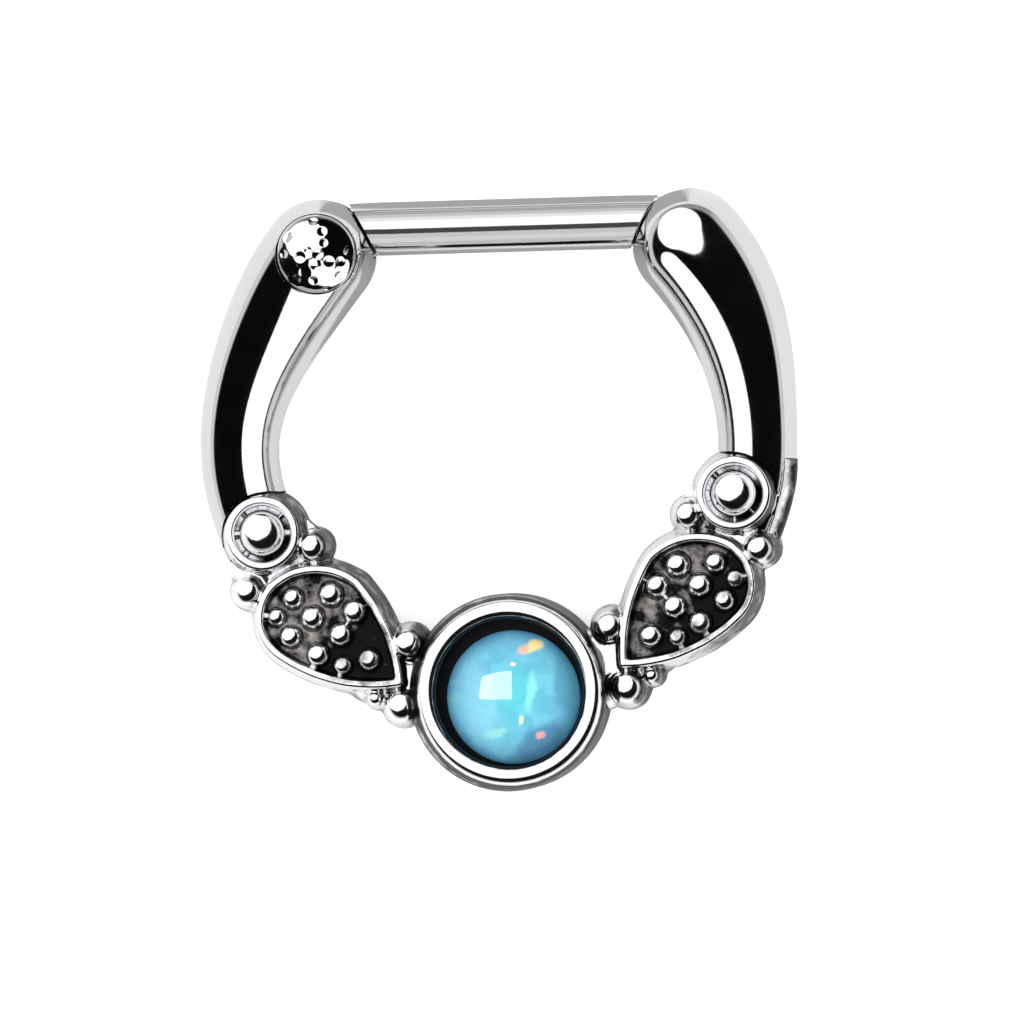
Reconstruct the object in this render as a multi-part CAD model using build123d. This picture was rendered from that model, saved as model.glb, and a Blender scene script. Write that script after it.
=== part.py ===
from build123d import *
import os
from math import cos, pi, radians, tan

# Hinged septum ring, in millimetres.
# The ring lies on its back: +Z is its front, +Y points to the straight bar, +X is the right of the front view.
# It is drawn with the middle between the two round ends at x = 0, y = 0, and moved at the end of the file so
# that the origin is the middle of its footprint.

# Hoop: a round rod that swells to a ball at each end
BALL_R = 1.28           # radius of the round ends
BALL_SPAN = 8.35        # distance between the centres of the round ends
ROD_R = 0.885           # radius of the rod away from its ends
TAPER_LENGTH = 5.0      # length along the rod over which it swells to the ball
SECTIONS = 29           # round sections that the rod is lofted through
REST_GAP = 0.005        # the balls end this far above the flat back of the bezel
MID_Z = BALL_R + REST_GAP   # height of the rod's centre line over that back

# Points of the rod's centre line between its two ends. The hoop is bent by hand and not quite even.
HOOP_ROUTE = [
    # place             x       y
    ("left shoulder",  -5.18,  -1.50),
    ("left side",      -6.09,  -4.11),
    ("left low",       -4.30,  -8.27),
    ("bottom",         -0.15, -10.07),
    ("right low",       3.93,  -7.97),
    ("right cup",       5.46,  -5.55),
    ("right side",      5.585, -4.09),
    ("right shoulder",  4.975, -1.26),
]

# Straight bar, which opens on its hinge in the left ball and latches in the right one
BAR_R = 0.60            # 16 gauge, 1.2 mm thick
BAR_FREE = 5.60         # length of the bar's full thickness, between the balls
BAR_END_R = 0.585       # polishing thins it a little towards its ends
BAR_RISE = 0.55         # height of the bar's axis over the line between the ball centres
TONGUE_T = 0.50         # thickness of the flat tongues
TONGUE_HALF = 0.54      # half the depth of a tongue
EYE_R = 0.70            # radius of the hinge eye
LATCH_REACH = 0.15      # the latch tongue ends this far before the right ball's centre
LATCH_ROUND = 0.20      # rounding of the latch tongue's tip
SHOULDER_GAP = 0.05     # gap between the bar's hollowed shoulders and the balls
TONGUE_ROOT = 0.10      # the tongues reach this far from the balls into the bar
SLOT_W = 0.58           # width of the slots in the balls
SLOT_GAP = 0.05         # gap round the edge of a tongue in its slot
OPEN_ANGLE = 95.0       # how far the bar swings open, in degrees

# Hinge pin: a rivet with a low round head in front
PIN_R = 0.28
PIN_RUN = 0.03          # radial clearance of the pin in the eye
PIN_FIT = 0.015         # radial clearance of the pin in the ball
HEAD_R = 0.90
HEAD_DEPTH = 0.85       # height of the head's seat over the rod's centre line
HEAD_PROUD = 0.03       # the head stands this much out of the ball
HEAD_FIT = 0.02         # gap round the head in its seat

# Ornament: the cast front, drawn round the centre of its bezel
ORNAMENT_AT = (0.01, -9.94)
ORNAMENT_TURN = 3.3    # it is fixed a little askew, as in the photo, in degrees
JOINT_GAP = 0.04        # cement gap between the casting and the hoop
SPAN_FROM, SPAN_TO = 0.266, 0.759   # stretch of the hoop under the saddle, as shares of its length
BAND_HALF = 0.93        # half width of the saddle that sits over the rod
BAND_SIDE = 0.20        # height of the saddle's straight sides
BAND_TOP = 2.14         # height of the saddle's crown
RIM_TOP = 2.50          # height of the rims of the leaves
DISH_FLOOR = 2.12       # height of the floor of the leaves
CUP_TOP = 2.55
DRAFT = 9.0             # slope of the cast side walls, in degrees

# Bezel and stone
BEZEL_AT = (-0.14, 0)    # the bezel sits a little to the left of the middle of the wings
BEZEL_R = 2.22
BEZEL_WALL = 1.90       # height up to which the drum's wall is upright
BEZEL_SWELL = (2.18, 2.40)  # radius and height of a point on the curve from wall to neck
BEZEL_TOP = 2.95
BEZEL_NECK = 2.08       # radius of the bezel just under its rim
RIM_W = 0.34            # width of the rounded rim
RECESS_R = 1.66         # radius of the recess at its floor
RECESS_FLOOR = 2.05
BACK_ROUND = 0.22       # rounding of the bezel's back edge
OPAL_R = 1.50
OPAL_GIRDLE = 0.15      # height of the stone's straight edge
OPAL_DOME = 0.78        # height of its dome over that edge
OPAL_AT = (0.13, -0.11)     # the stone is set a little off the middle of its bezel
STONE_GAP = 0.02

# Leaf outline on the right, as four arcs that start and end at its tip: (through, to)
LEAF_TIP = (2.52, 0.42)
LEAF_ARCS = [((2.72, 1.65), (3.30, 2.75)), ((4.20, 3.13), (5.08, 2.92)),
             ((5.56, 2.05), (5.12, 1.20)), ((3.95, 0.58), LEAF_TIP)]
LEAF_FOOT = 0.26        # the leaf's wall starts this far outside its outline
LEAF_RIM = 0.10         # and its dish starts this far inside it

CUP_AT = (5.32, 4.02)
CUP_R, CUP_HOLLOW_R = 0.83, 0.63
CUP_BEAD_R = 0.52
CUP_BEAD_Z = 2.32
CUP_FLOOR = 2.20

# Beads and granules on the right
BEADS = [
    # x     y      r     z
    (4.24, 3.64, 0.33, 2.26),   # between cup and leaf, inside
    (5.78, 2.75, 0.34, 2.26),   # between cup and leaf, outside
    (2.27, 1.29, 0.35, 2.26),   # by the bezel, above
    (2.55, -0.11, 0.38, 2.22),  # by the bezel, below
    (3.12, 0.13, 0.18, 2.16),   # under the leaf's tip
]
WEB_EDGE = 0.04         # the webs between cup and beads stand this far outside them
GRANULE_Z = 2.26
GRANULES = [
    # x     y      r
    (3.92, 2.54, 0.27),
    (4.77, 2.52, 0.23),
    (3.42, 2.10, 0.26),
    (4.37, 2.04, 0.26),
    (5.18, 2.12, 0.20),
    (3.77, 1.61, 0.26),
    (4.90, 1.66, 0.24),
    (3.18, 1.00, 0.25),
    (4.32, 1.20, 0.25),
    (3.78, 0.92, 0.20),
]

LEFT_BALL = Vector(-BALL_SPAN / 2, 0, MID_Z)
RIGHT_BALL = Vector(BALL_SPAN / 2, 0, MID_Z)
FAR = 20.0              # larger than the whole ring, for cutting tools


def hoop_line():
    """Centre line of the hoop, from the left ball to the right one."""
    middle = [Vector(x, y, MID_Z) for _, x, y in HOOP_ROUTE]
    return Edge.make_spline([LEFT_BALL, *middle, RIGHT_BALL])


def across(line, share):
    """Plane square to the line at this share of its length, its y axis pointing up."""
    along = line % share
    return Plane(origin=line @ share, x_dir=Vector(0, 0, 1).cross(along), z_dir=along)


def rod_radius(distance):
    """Radius of the rod at this distance from the nearer ball centre."""
    swell = 0.5 + 0.5 * cos(pi * min(distance / TAPER_LENGTH, 1.0))
    return ROD_R + (BALL_R - ROD_R) * swell


def make_rod(line):
    """Round rod along the line, thick at its ends, with a ball on each end."""
    rings = []
    for i in range(SECTIONS):
        share = i / (SECTIONS - 1)
        distance = min(share, 1 - share) * line.length
        rings.append(across(line, share) * Circle(rod_radius(distance)))
    rod = loft(rings)
    for centre in (LEFT_BALL, RIGHT_BALL):
        rod += Pos(*centre) * Sphere(BALL_R)
    return rod


def flat_plate(plan, thickness):
    """Plate of this plan, centred on the height of the rod."""
    return Pos(0, 0, MID_Z - thickness / 2) * extrude(plan, thickness)


def hinge_plan(grow=0.0):
    """Plan of the hinge tongue round the pin: the eye and the web that joins it to the bar."""
    eye = Circle(EYE_R + grow)
    start, end = HEAD_R, BALL_R + TONGUE_ROOT
    web = Pos((start + end) / 2, BAR_RISE) * Rectangle(end - start, 2 * (TONGUE_HALF + grow))
    return make_hull((eye + web).edges())


def latch_plan():
    """Plan of the latch tongue, from the bar into the right ball."""
    start, end = -BALL_R - TONGUE_ROOT, -LATCH_REACH
    plate = Rectangle(end - start, 2 * TONGUE_HALF)
    tip = plate.vertices().group_by(Axis.X)[-1]
    return Pos((start + end) / 2, BAR_RISE) * fillet(tip, LATCH_ROUND)


def hinge_slot():
    """Slot in the left ball, wide enough for the tongue from shut to open."""
    swept = Polyline((0, 0), (2 * BALL_R, 0), (2 * BALL_R, 2 * BALL_R), (-BALL_R, 2 * BALL_R),
                     (-2 * BALL_R, BALL_R), (0, 0))
    plan = make_face(swept) + hinge_plan(SLOT_GAP) + Rot(0, 0, OPEN_ANGLE) * hinge_plan(SLOT_GAP)
    return Pos(LEFT_BALL.X, 0) * flat_plate(plan, SLOT_W)


def latch_slot():
    """Slot in the right ball, open to the inside and to the top."""
    floor = BAR_RISE - TONGUE_HALF - SLOT_GAP
    stop = -LATCH_REACH + 2 * SLOT_GAP
    plan = Pos(stop - BALL_R, floor + BALL_R) * Rectangle(2 * BALL_R, 2 * BALL_R)
    return Pos(RIGHT_BALL.X, 0) * flat_plate(plan, SLOT_W)


def swept_block(line, outline, share_from, share_to):
    """Outline drawn square to the line, swept along it between two shares of its length."""
    stretch = line.trim(share_from, share_to)
    return sweep(across(stretch, 0) * outline, path=stretch)


def cup_well():
    """Tool for the well in the rod's front that the right cup and the feet beside it stand in."""
    base_z = MID_Z + JOINT_GAP
    plan = Pos(CUP_AT) * Circle(foot_radius(CUP_R, base_z, CUP_TOP) + JOINT_GAP)
    for bead in BEADS[:2]:
        x, y, r, top_z = bead
        plan += Pos(x, y) * Circle(foot_radius(r, base_z, top_z) + JOINT_GAP)
        plan += web_plan(bead, JOINT_GAP)
    return extrude(Pos(0, 0, MID_Z) * plan, FAR)


def make_hoop(line):
    """The rod with its slots, the seat of the pin and the seat and wells under the ornament."""
    hoop = make_rod(line) - hinge_slot() - latch_slot()
    pin_hole = Pos(LEFT_BALL.X, 0, MID_Z) * Cylinder(PIN_R + PIN_FIT, FAR)
    head_seat = Pos(LEFT_BALL.X, 0, MID_Z + HEAD_DEPTH - HEAD_FIT) * Cylinder(
        HEAD_R + HEAD_FIT, FAR, align=(Align.CENTER, Align.CENTER, Align.MIN))
    front_half = Pos(0, BALL_R) * Rectangle(4 * ROD_R, 2 * BALL_R)
    hoop -= pin_hole + head_seat
    hoop -= swept_block(line, front_half, SPAN_FROM, SPAN_TO)
    well = cup_well()
    return hoop - ornament_place() * well - ornament_place() * mirror(well, Plane.YZ)


def make_pin():
    """Rivet through the left ball: shaft with a flush tail and a low round head."""
    shaft = Cylinder(PIN_R, FAR) & Sphere(BALL_R)
    head = Pos(0, 0, HEAD_DEPTH) * Cylinder(HEAD_R, BALL_R, align=(Align.CENTER, Align.CENTER, Align.MIN))
    return Pos(*LEFT_BALL) * (shaft + (head & Sphere(BALL_R + HEAD_PROUD)))


def make_bar():
    """Round bar with shoulders hollowed to fit the balls and a flat tongue at each end."""
    half, past = BAR_FREE / 2, (BALL_SPAN - BAR_FREE) / 2
    end = Cone(BAR_R, BAR_END_R, past, align=(Align.CENTER, Align.CENTER, Align.MIN))
    rod = Cylinder(BAR_R, BAR_FREE) + Pos(0, 0, half) * end + Pos(0, 0, -half) * Rot(180, 0, 0) * end
    bar = Pos(0, BAR_RISE, MID_Z) * Rot(0, 90, 0) * rod
    for centre in (LEFT_BALL, RIGHT_BALL):
        bar -= Pos(*centre) * Sphere(BALL_R + SHOULDER_GAP)
    bar += Pos(LEFT_BALL.X, 0) * flat_plate(hinge_plan(), TONGUE_T)
    bar += Pos(RIGHT_BALL.X, 0) * flat_plate(latch_plan(), TONGUE_T)
    return bar - Pos(LEFT_BALL.X, 0, MID_Z) * Cylinder(PIN_R + PIN_RUN, FAR)


def foot_radius(top_r, base_z, top_z):
    """Radius at base_z of a pedestal that is top_r wide at top_z, with the draft of the casting."""
    return top_r + (top_z - base_z) * tan(radians(DRAFT))


def frustum(x, y, base_z, top_z, top_r):
    """Round pedestal with the draft of the casting, from base_z up to top_r at top_z."""
    base_r = foot_radius(top_r, base_z, top_z)
    return Pos(x, y, base_z) * Cone(base_r, top_r, top_z - base_z, align=(Align.CENTER, Align.CENTER, Align.MIN))


def leaf_face(grow):
    """Leaf outline, moved outwards by grow."""
    start, arcs = LEAF_TIP, []
    for through, end in LEAF_ARCS:
        arcs.append(ThreePointArc(start, through, end))
        start = end
    return offset(make_face(Curve() + arcs), grow, kind=Kind.INTERSECTION if grow < 0 else Kind.ARC)


def make_leaf(base_z):
    """Leaf-shaped dish with a raised rim."""
    wall = extrude(Pos(0, 0, base_z) * leaf_face(LEAF_FOOT), RIM_TOP - base_z, taper=DRAFT)
    dish = extrude(Pos(0, 0, DISH_FLOOR) * leaf_face(-LEAF_RIM), FAR)
    return wall - dish


def make_cup(base_z):
    """Round cup with a bead in it."""
    x, y = CUP_AT
    cup = frustum(x, y, base_z, CUP_TOP, CUP_R)
    cup -= Pos(x, y, CUP_FLOOR) * Cylinder(CUP_HOLLOW_R, FAR, align=(Align.CENTER, Align.CENTER, Align.MIN))
    return cup + Pos(x, y, CUP_BEAD_Z) * Sphere(CUP_BEAD_R)


def web_plan(bead, grow=0.0):
    """Plan of the low web that joins the foot of the cup to a small bead beside it."""
    x, y, r, _ = bead
    pair = Pos(CUP_AT) * Circle(CUP_R + WEB_EDGE + grow) + Pos(x, y) * Circle(r + WEB_EDGE + grow)
    return make_hull(pair.edges())


def make_wing(base_z):
    """Right wing of the ornament: cup, leaf, beads and granules on their pedestals."""
    wing = make_leaf(base_z) + make_cup(base_z)
    for bead in BEADS[:2]:
        wing += extrude(Pos(0, 0, base_z) * web_plan(bead), BAND_TOP - base_z)
    for x, y, r, z in BEADS:
        wing += frustum(x, y, base_z, z, r)
        wing += Pos(x, y, z) * Sphere(r)
    for x, y, r in GRANULES:
        wing += Pos(x, y, GRANULE_Z) * Sphere(r)
    return wing


def make_bezel():
    """Drum that holds the stone: rounded rim, recess and a flat back to rest on."""
    rim_mid, rim_r = BEZEL_NECK - RIM_W / 2, RIM_W / 2
    rim_z = BEZEL_TOP - rim_r
    outline = [
        Line((0, 0), (BEZEL_R - BACK_ROUND, 0)),
        RadiusArc((BEZEL_R - BACK_ROUND, 0), (BEZEL_R, BACK_ROUND), -BACK_ROUND),
        Line((BEZEL_R, BACK_ROUND), (BEZEL_R, BEZEL_WALL)),
        ThreePointArc((BEZEL_R, BEZEL_WALL), BEZEL_SWELL, (BEZEL_NECK, rim_z)),
        ThreePointArc((BEZEL_NECK, rim_z), (rim_mid, BEZEL_TOP), (rim_mid - rim_r, rim_z)),
        Line((rim_mid - rim_r, rim_z), (RECESS_R, RECESS_FLOOR)),
        Line((RECESS_R, RECESS_FLOOR), (0, RECESS_FLOOR)),
        Line((0, RECESS_FLOOR), (0, 0)),
    ]
    return revolve(Plane.XZ * make_face(Curve() + outline), Axis.Z)


def ornament_place():
    """Where the casting's own centre lies on the ring."""
    return Pos(*ORNAMENT_AT) * Rot(0, 0, ORNAMENT_TURN)


def saddle_outline():
    """Section of the saddle over the rod, measured from the rod's centre line."""
    foot, side, crown = JOINT_GAP, BAND_SIDE, BAND_TOP - MID_Z
    return make_face([
        Line((-BAND_HALF, foot), (BAND_HALF, foot)),
        Line((BAND_HALF, foot), (BAND_HALF, side)),
        ThreePointArc((BAND_HALF, side), (0, crown), (-BAND_HALF, side)),
        Line((-BAND_HALF, side), (-BAND_HALF, foot)),
    ])


def make_ornament(line):
    """The casting: saddle, two wings and bezel, with a channel behind for the hoop."""
    base_z = MID_Z + JOINT_GAP
    end_gap = JOINT_GAP / line.length
    casting = swept_block(line, saddle_outline(), SPAN_FROM + end_gap, SPAN_TO - end_gap)
    wing = make_wing(base_z)
    casting += ornament_place() * Pos(*BEZEL_AT) * make_bezel()
    casting += ornament_place() * wing
    casting += ornament_place() * mirror(wing, Plane.YZ)
    recess = Pos(0, 0, RECESS_FLOOR) * Cylinder(RECESS_R, FAR, align=(Align.CENTER, Align.CENTER, Align.MIN))
    casting -= ornament_place() * Pos(*BEZEL_AT) * recess
    channel = Pos(0, JOINT_GAP - BALL_R) * Rectangle(2 * BAND_HALF, 2 * BALL_R)
    return casting - swept_block(line, channel, SPAN_FROM, SPAN_TO)


def make_opal():
    """Round cabochon: a short straight edge and a dome."""
    dome_r = (OPAL_R ** 2 + OPAL_DOME ** 2) / (2 * OPAL_DOME)
    height = OPAL_GIRDLE + OPAL_DOME
    post = Cylinder(OPAL_R, height, align=(Align.CENTER, Align.CENTER, Align.MIN))
    stone = post & (Pos(0, 0, height - dome_r) * Sphere(dome_r))
    return ornament_place() * Pos(*BEZEL_AT) * Pos(*OPAL_AT, RECESS_FLOOR + STONE_GAP) * stone


def main():
    """Make every piece, move the origin under the middle of the ring and write the files."""
    line = hoop_line()
    pieces = {
        "hoop": make_hoop(line),
        "ornament": make_ornament(line),
        "opal": make_opal(),
        "clicker_bar": make_bar(),
        "hinge_pin": make_pin(),
    }
    box = Compound(children=[Compound(p.solids()) for p in pieces.values()]).bounding_box()
    centre = Vector((box.min.X + box.max.X) / 2, (box.min.Y + box.max.Y) / 2, box.min.Z)
    os.makedirs("parts", exist_ok=True)
    for name, piece in pieces.items():
        export_step(Pos(*(-centre)) * piece, f"parts/{name}.step")
        print(name, len(piece.solids()), round(piece.volume, 2))
    hinge = LEFT_BALL - centre
    print("box", box.size, "hinge at", hinge, "bar axis at y", hinge.Y + BAR_RISE, "moved by", -centre)


main()
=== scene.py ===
"""Septum ring with a hinged bar: its fine shapes, its finishes, the studio and the camera.

Lengths are in millimetres, in the ring's own drawing frame. The ring lies on its back, +Z is its front, +Y
points to the straight bar, and the origin is the middle between the two ball ends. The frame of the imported
model is that one moved along X and Y. Each mesh is turned into metres only when it becomes a piece.
"""
import logging
import math
from dataclasses import dataclass, field
from enum import Enum
from typing import Any, Iterable, Sequence

import bmesh
import bpy
import numpy as np
from mathutils import Matrix, Vector, noise


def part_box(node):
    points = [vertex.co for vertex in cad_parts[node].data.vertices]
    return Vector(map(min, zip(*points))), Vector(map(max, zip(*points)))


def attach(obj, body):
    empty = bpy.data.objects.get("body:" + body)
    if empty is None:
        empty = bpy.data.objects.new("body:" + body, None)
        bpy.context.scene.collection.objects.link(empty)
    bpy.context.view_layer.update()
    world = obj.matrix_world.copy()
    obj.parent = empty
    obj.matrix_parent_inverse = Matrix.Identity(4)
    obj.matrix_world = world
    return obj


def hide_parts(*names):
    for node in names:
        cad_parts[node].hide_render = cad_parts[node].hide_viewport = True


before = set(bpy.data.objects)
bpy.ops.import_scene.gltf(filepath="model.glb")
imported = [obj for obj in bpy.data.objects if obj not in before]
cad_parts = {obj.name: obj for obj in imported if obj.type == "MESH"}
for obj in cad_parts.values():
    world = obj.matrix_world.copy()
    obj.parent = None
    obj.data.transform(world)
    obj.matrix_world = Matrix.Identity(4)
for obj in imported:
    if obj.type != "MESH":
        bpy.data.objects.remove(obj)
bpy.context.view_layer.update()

LOG = logging.getLogger("septum_ring")
MM = 0.001
# Gap between the end of the saddle and the step of the rod's seat, in millimetres.
SEAT_GAP = 0.04
# How far along the rod the casting's cheek goes past the right cup, as a share of the rod's length.
CHEEK_SHARE = 0.813
# Seed of the noise, which Blender would otherwise take from the clock.
NOISE_SEED = 7

Point2 = tuple[float, float]


class Body(Enum):
    """The two rigid bodies of the clicker."""

    RING = "ring"
    BAR = "bar"


class Slot(Enum):
    """The record's material slots."""

    STEEL = "polished_steel"
    CASTING = "antiqued_casting"
    STONE = "opal"


class Side(Enum):
    """Left and right half of the ornament, seen from the front."""

    LEFT = -1
    RIGHT = 1


# Small tools


def linear(colour: str) -> tuple[float, float, float, float]:
    """Turn an sRGB hex colour such as "#c8ccd0" into linear light.

    Args:
        colour: the colour, with its leading hash.

    Returns:
        Red, green, blue and an alpha of 1.
    """
    parts = [int(colour[i:i + 2], 16) / 255 for i in (1, 3, 5)]
    red, green, blue = (c / 12.92 if c <= 0.04045 else ((c + 0.055) / 1.055) ** 2.4 for c in parts)
    return red, green, blue, 1.0


def smooth_step(low: float, high: float, value: np.ndarray) -> np.ndarray:
    """Rise smoothly from 0 at low to 1 at high, or the other way round where low is the larger.

    Args:
        low: where the result is 0.
        high: where the result is 1.
        value: the numbers to grade.

    Returns:
        An array of shares from 0 to 1.
    """
    share = np.clip((value - low) / (high - low), 0.0, 1.0)
    return share * share * (3 - 2 * share)


def arc_through(start: Point2, through: Point2, end: Point2, steps: int) -> list[Point2]:
    """Points on the arc that goes from start through a middle point to end, without the start itself.

    Args:
        start: first point of the arc.
        through: a point on the arc between its ends.
        end: last point of the arc.
        steps: how many points to return, the last of them being end.

    Returns:
        The points in order.
    """
    (ax, ay), (bx, by), (cx, cy) = start, through, end
    turn = 2 * (ax * (by - cy) + bx * (cy - ay) + cx * (ay - by))
    a2, b2, c2 = ax * ax + ay * ay, bx * bx + by * by, cx * cx + cy * cy
    ux = (a2 * (by - cy) + b2 * (cy - ay) + c2 * (ay - by)) / turn
    uy = (a2 * (cx - bx) + b2 * (ax - cx) + c2 * (bx - ax)) / turn
    radius = math.hypot(ax - ux, ay - uy)
    first, last = math.atan2(ay - uy, ax - ux), math.atan2(cy - uy, cx - ux)
    if turn > 0 and last < first:
        last += 2 * math.pi
    if turn < 0 and last > first:
        last -= 2 * math.pi
    angles = [first + (last - first) * (i + 1) / steps for i in range(steps)]
    return [(ux + radius * math.cos(a), uy + radius * math.sin(a)) for a in angles]


def add_node(tree: bpy.types.NodeTree, kind: str, settings: dict[Any, Any] | None = None,
             links: dict[Any, bpy.types.NodeSocket] | None = None) -> bpy.types.Node:
    """Add a node, set its properties and plain socket values, and link its inputs.

    Args:
        tree: the node tree that gets the node.
        kind: the node's type, such as "ShaderNodeTexNoise".
        settings: values by the name of a property, or by the name or number of an input socket.
        links: output sockets of other nodes by the name or number of the input that they feed.

    Returns:
        The new node.
    """
    node = tree.nodes.new(kind)
    for key, value in (settings or {}).items():
        if isinstance(key, str) and hasattr(node, key):
            setattr(node, key, value)
        else:
            node.inputs[key].default_value = value
    for key, socket in (links or {}).items():
        tree.links.new(socket, node.inputs[key])
    return node


def ramp(node: bpy.types.Node, stops: Sequence[tuple[float, str]]) -> bpy.types.Node:
    """Give a colour ramp its stops.

    Args:
        node: a colour ramp node.
        stops: position and sRGB hex colour of each stop, in order.

    Returns:
        The same node.
    """
    elements = node.color_ramp.elements
    while len(elements) < len(stops):
        elements.new(0.5)
    for element, (place, colour) in zip(elements, stops):
        element.position = place
        element.color = linear(colour)
    return node


# Meshes


def skin(rings: np.ndarray) -> bpy.types.Mesh:
    """Closed surface over rings of points, with a flat end at the first and the last ring.

    Args:
        rings: an array of rows by columns by 3, each row a closed ring.

    Returns:
        The mesh, in millimetres.
    """
    rows, columns = rings.shape[:2]
    corner = np.arange(rows * columns).reshape(rows, columns)
    right = np.roll(corner, -1, axis=1)
    quads = np.stack([corner[:-1], right[:-1], right[1:], corner[1:]], axis=-1).reshape(-1, 4)
    faces = [*quads.tolist(), corner[0][::-1].tolist(), corner[-1].tolist()]
    mesh = bpy.data.meshes.new("skin")
    mesh.from_pydata(rings.reshape(-1, 3).tolist(), [], faces)
    return mesh


def turned(profile: Sequence[Point2], segments: int) -> np.ndarray:
    """Rings of a profile turned round the Z axis.

    Args:
        profile: radius and height of each ring, in order.
        segments: number of points in each ring.

    Returns:
        An array of rows by columns by 3.
    """
    angle = np.linspace(0, 2 * math.pi, segments, endpoint=False)
    radius, height = (np.array(side, float)[:, None] for side in zip(*profile))
    return np.stack([radius * np.cos(angle), radius * np.sin(angle), height + 0 * angle], axis=-1)


def hull(points: Iterable[Sequence[float]]) -> bpy.types.Mesh:
    """Convex solid round these points.

    Args:
        points: corners, in millimetres.

    Returns:
        The mesh, with its flat faces whole.
    """
    work = bmesh.new()
    for point in points:
        work.verts.new(point)
    made = bmesh.ops.convex_hull(work, input=work.verts)
    bmesh.ops.delete(work, geom=[v for v in made["geom_interior"] if isinstance(v, bmesh.types.BMVert)],
                     context="VERTS")
    bmesh.ops.dissolve_limit(work, angle_limit=math.radians(1), verts=work.verts, edges=work.edges)
    mesh = bpy.data.meshes.new("hull")
    work.to_mesh(mesh)
    work.free()
    return mesh


def plate(outline: Iterable[Point2], low: float, high: float) -> bpy.types.Mesh:
    """Flat plate with a convex outline, between two heights."""
    return hull([(x, y, z) for x, y in outline for z in (low, high)])


def circle(x: float, y: float, radius: float, count: int = 72) -> list[Point2]:
    """Points of a circle round (x, y)."""
    turns = [2 * math.pi * i / count for i in range(count)]
    return [(x + radius * math.cos(a), y + radius * math.sin(a)) for a in turns]


def ball(x: float, y: float, z: float, radius: float) -> bpy.types.Mesh:
    """Fine sphere, to be melted into a casting."""
    work = bmesh.new()
    bmesh.ops.create_icosphere(work, subdivisions=4, radius=radius, matrix=Matrix.Translation((x, y, z)))
    mesh = bpy.data.meshes.new("ball")
    work.to_mesh(mesh)
    work.free()
    return mesh


def joined(meshes: Iterable[bpy.types.Mesh]) -> bpy.types.Mesh:
    """One mesh of several, each a shell of its own in it."""
    work = bmesh.new()
    for mesh in meshes:
        work.from_mesh(mesh)
    result = bpy.data.meshes.new("joined")
    work.to_mesh(result)
    work.free()
    return result


def moved(mesh: bpy.types.Mesh, matrix: Matrix) -> bpy.types.Mesh:
    """The same mesh, carried by a matrix, with its faces still turned outwards."""
    mesh.transform(matrix)
    if matrix.determinant() < 0:
        mesh.flip_normals()
    return mesh


def worked(mesh: bpy.types.Mesh, *steps: tuple[str, dict[str, Any]]) -> bpy.types.Mesh:
    """Run modifiers on a mesh and keep the result.

    Args:
        mesh: the mesh to work on.
        steps: type and settings of each modifier, in order.

    Returns:
        A new mesh with the modifiers applied.
    """
    bench = bpy.data.objects.new("bench", mesh)
    bpy.context.scene.collection.objects.link(bench)
    for kind, settings in steps:
        modifier = bench.modifiers.new(kind.lower(), kind)
        for key, value in settings.items():
            setattr(modifier, key, value)
    graph = bpy.context.evaluated_depsgraph_get()
    result = bpy.data.meshes.new_from_object(bench.evaluated_get(graph))
    bpy.data.objects.remove(bench)
    return result


def cut(mesh: bpy.types.Mesh, *tools: bpy.types.Mesh) -> bpy.types.Mesh:
    """Take solid tools away from a solid.

    Args:
        mesh: the solid that is cut.
        tools: the solids taken away, one after another.

    Returns:
        The mesh of what is left.
    """
    for tool in tools:
        cutter = bpy.data.objects.new("cutter", tool)
        bpy.context.scene.collection.objects.link(cutter)
        mesh = worked(mesh, ("BOOLEAN", {"operation": "DIFFERENCE", "solver": "EXACT", "object": cutter}))
        bpy.data.objects.remove(cutter)
    return mesh


def corners_of(mesh: bpy.types.Mesh) -> np.ndarray:
    """Every vertex of a mesh, as an array of rows of x, y, z."""
    flat = np.empty(len(mesh.vertices) * 3)
    mesh.vertices.foreach_get("co", flat)
    return flat.reshape(-1, 3)


def set_corners(mesh: bpy.types.Mesh, places: np.ndarray) -> None:
    """Move every vertex of a mesh to a new place."""
    mesh.vertices.foreach_set("co", places.ravel())
    mesh.update()


# Finishes


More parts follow.
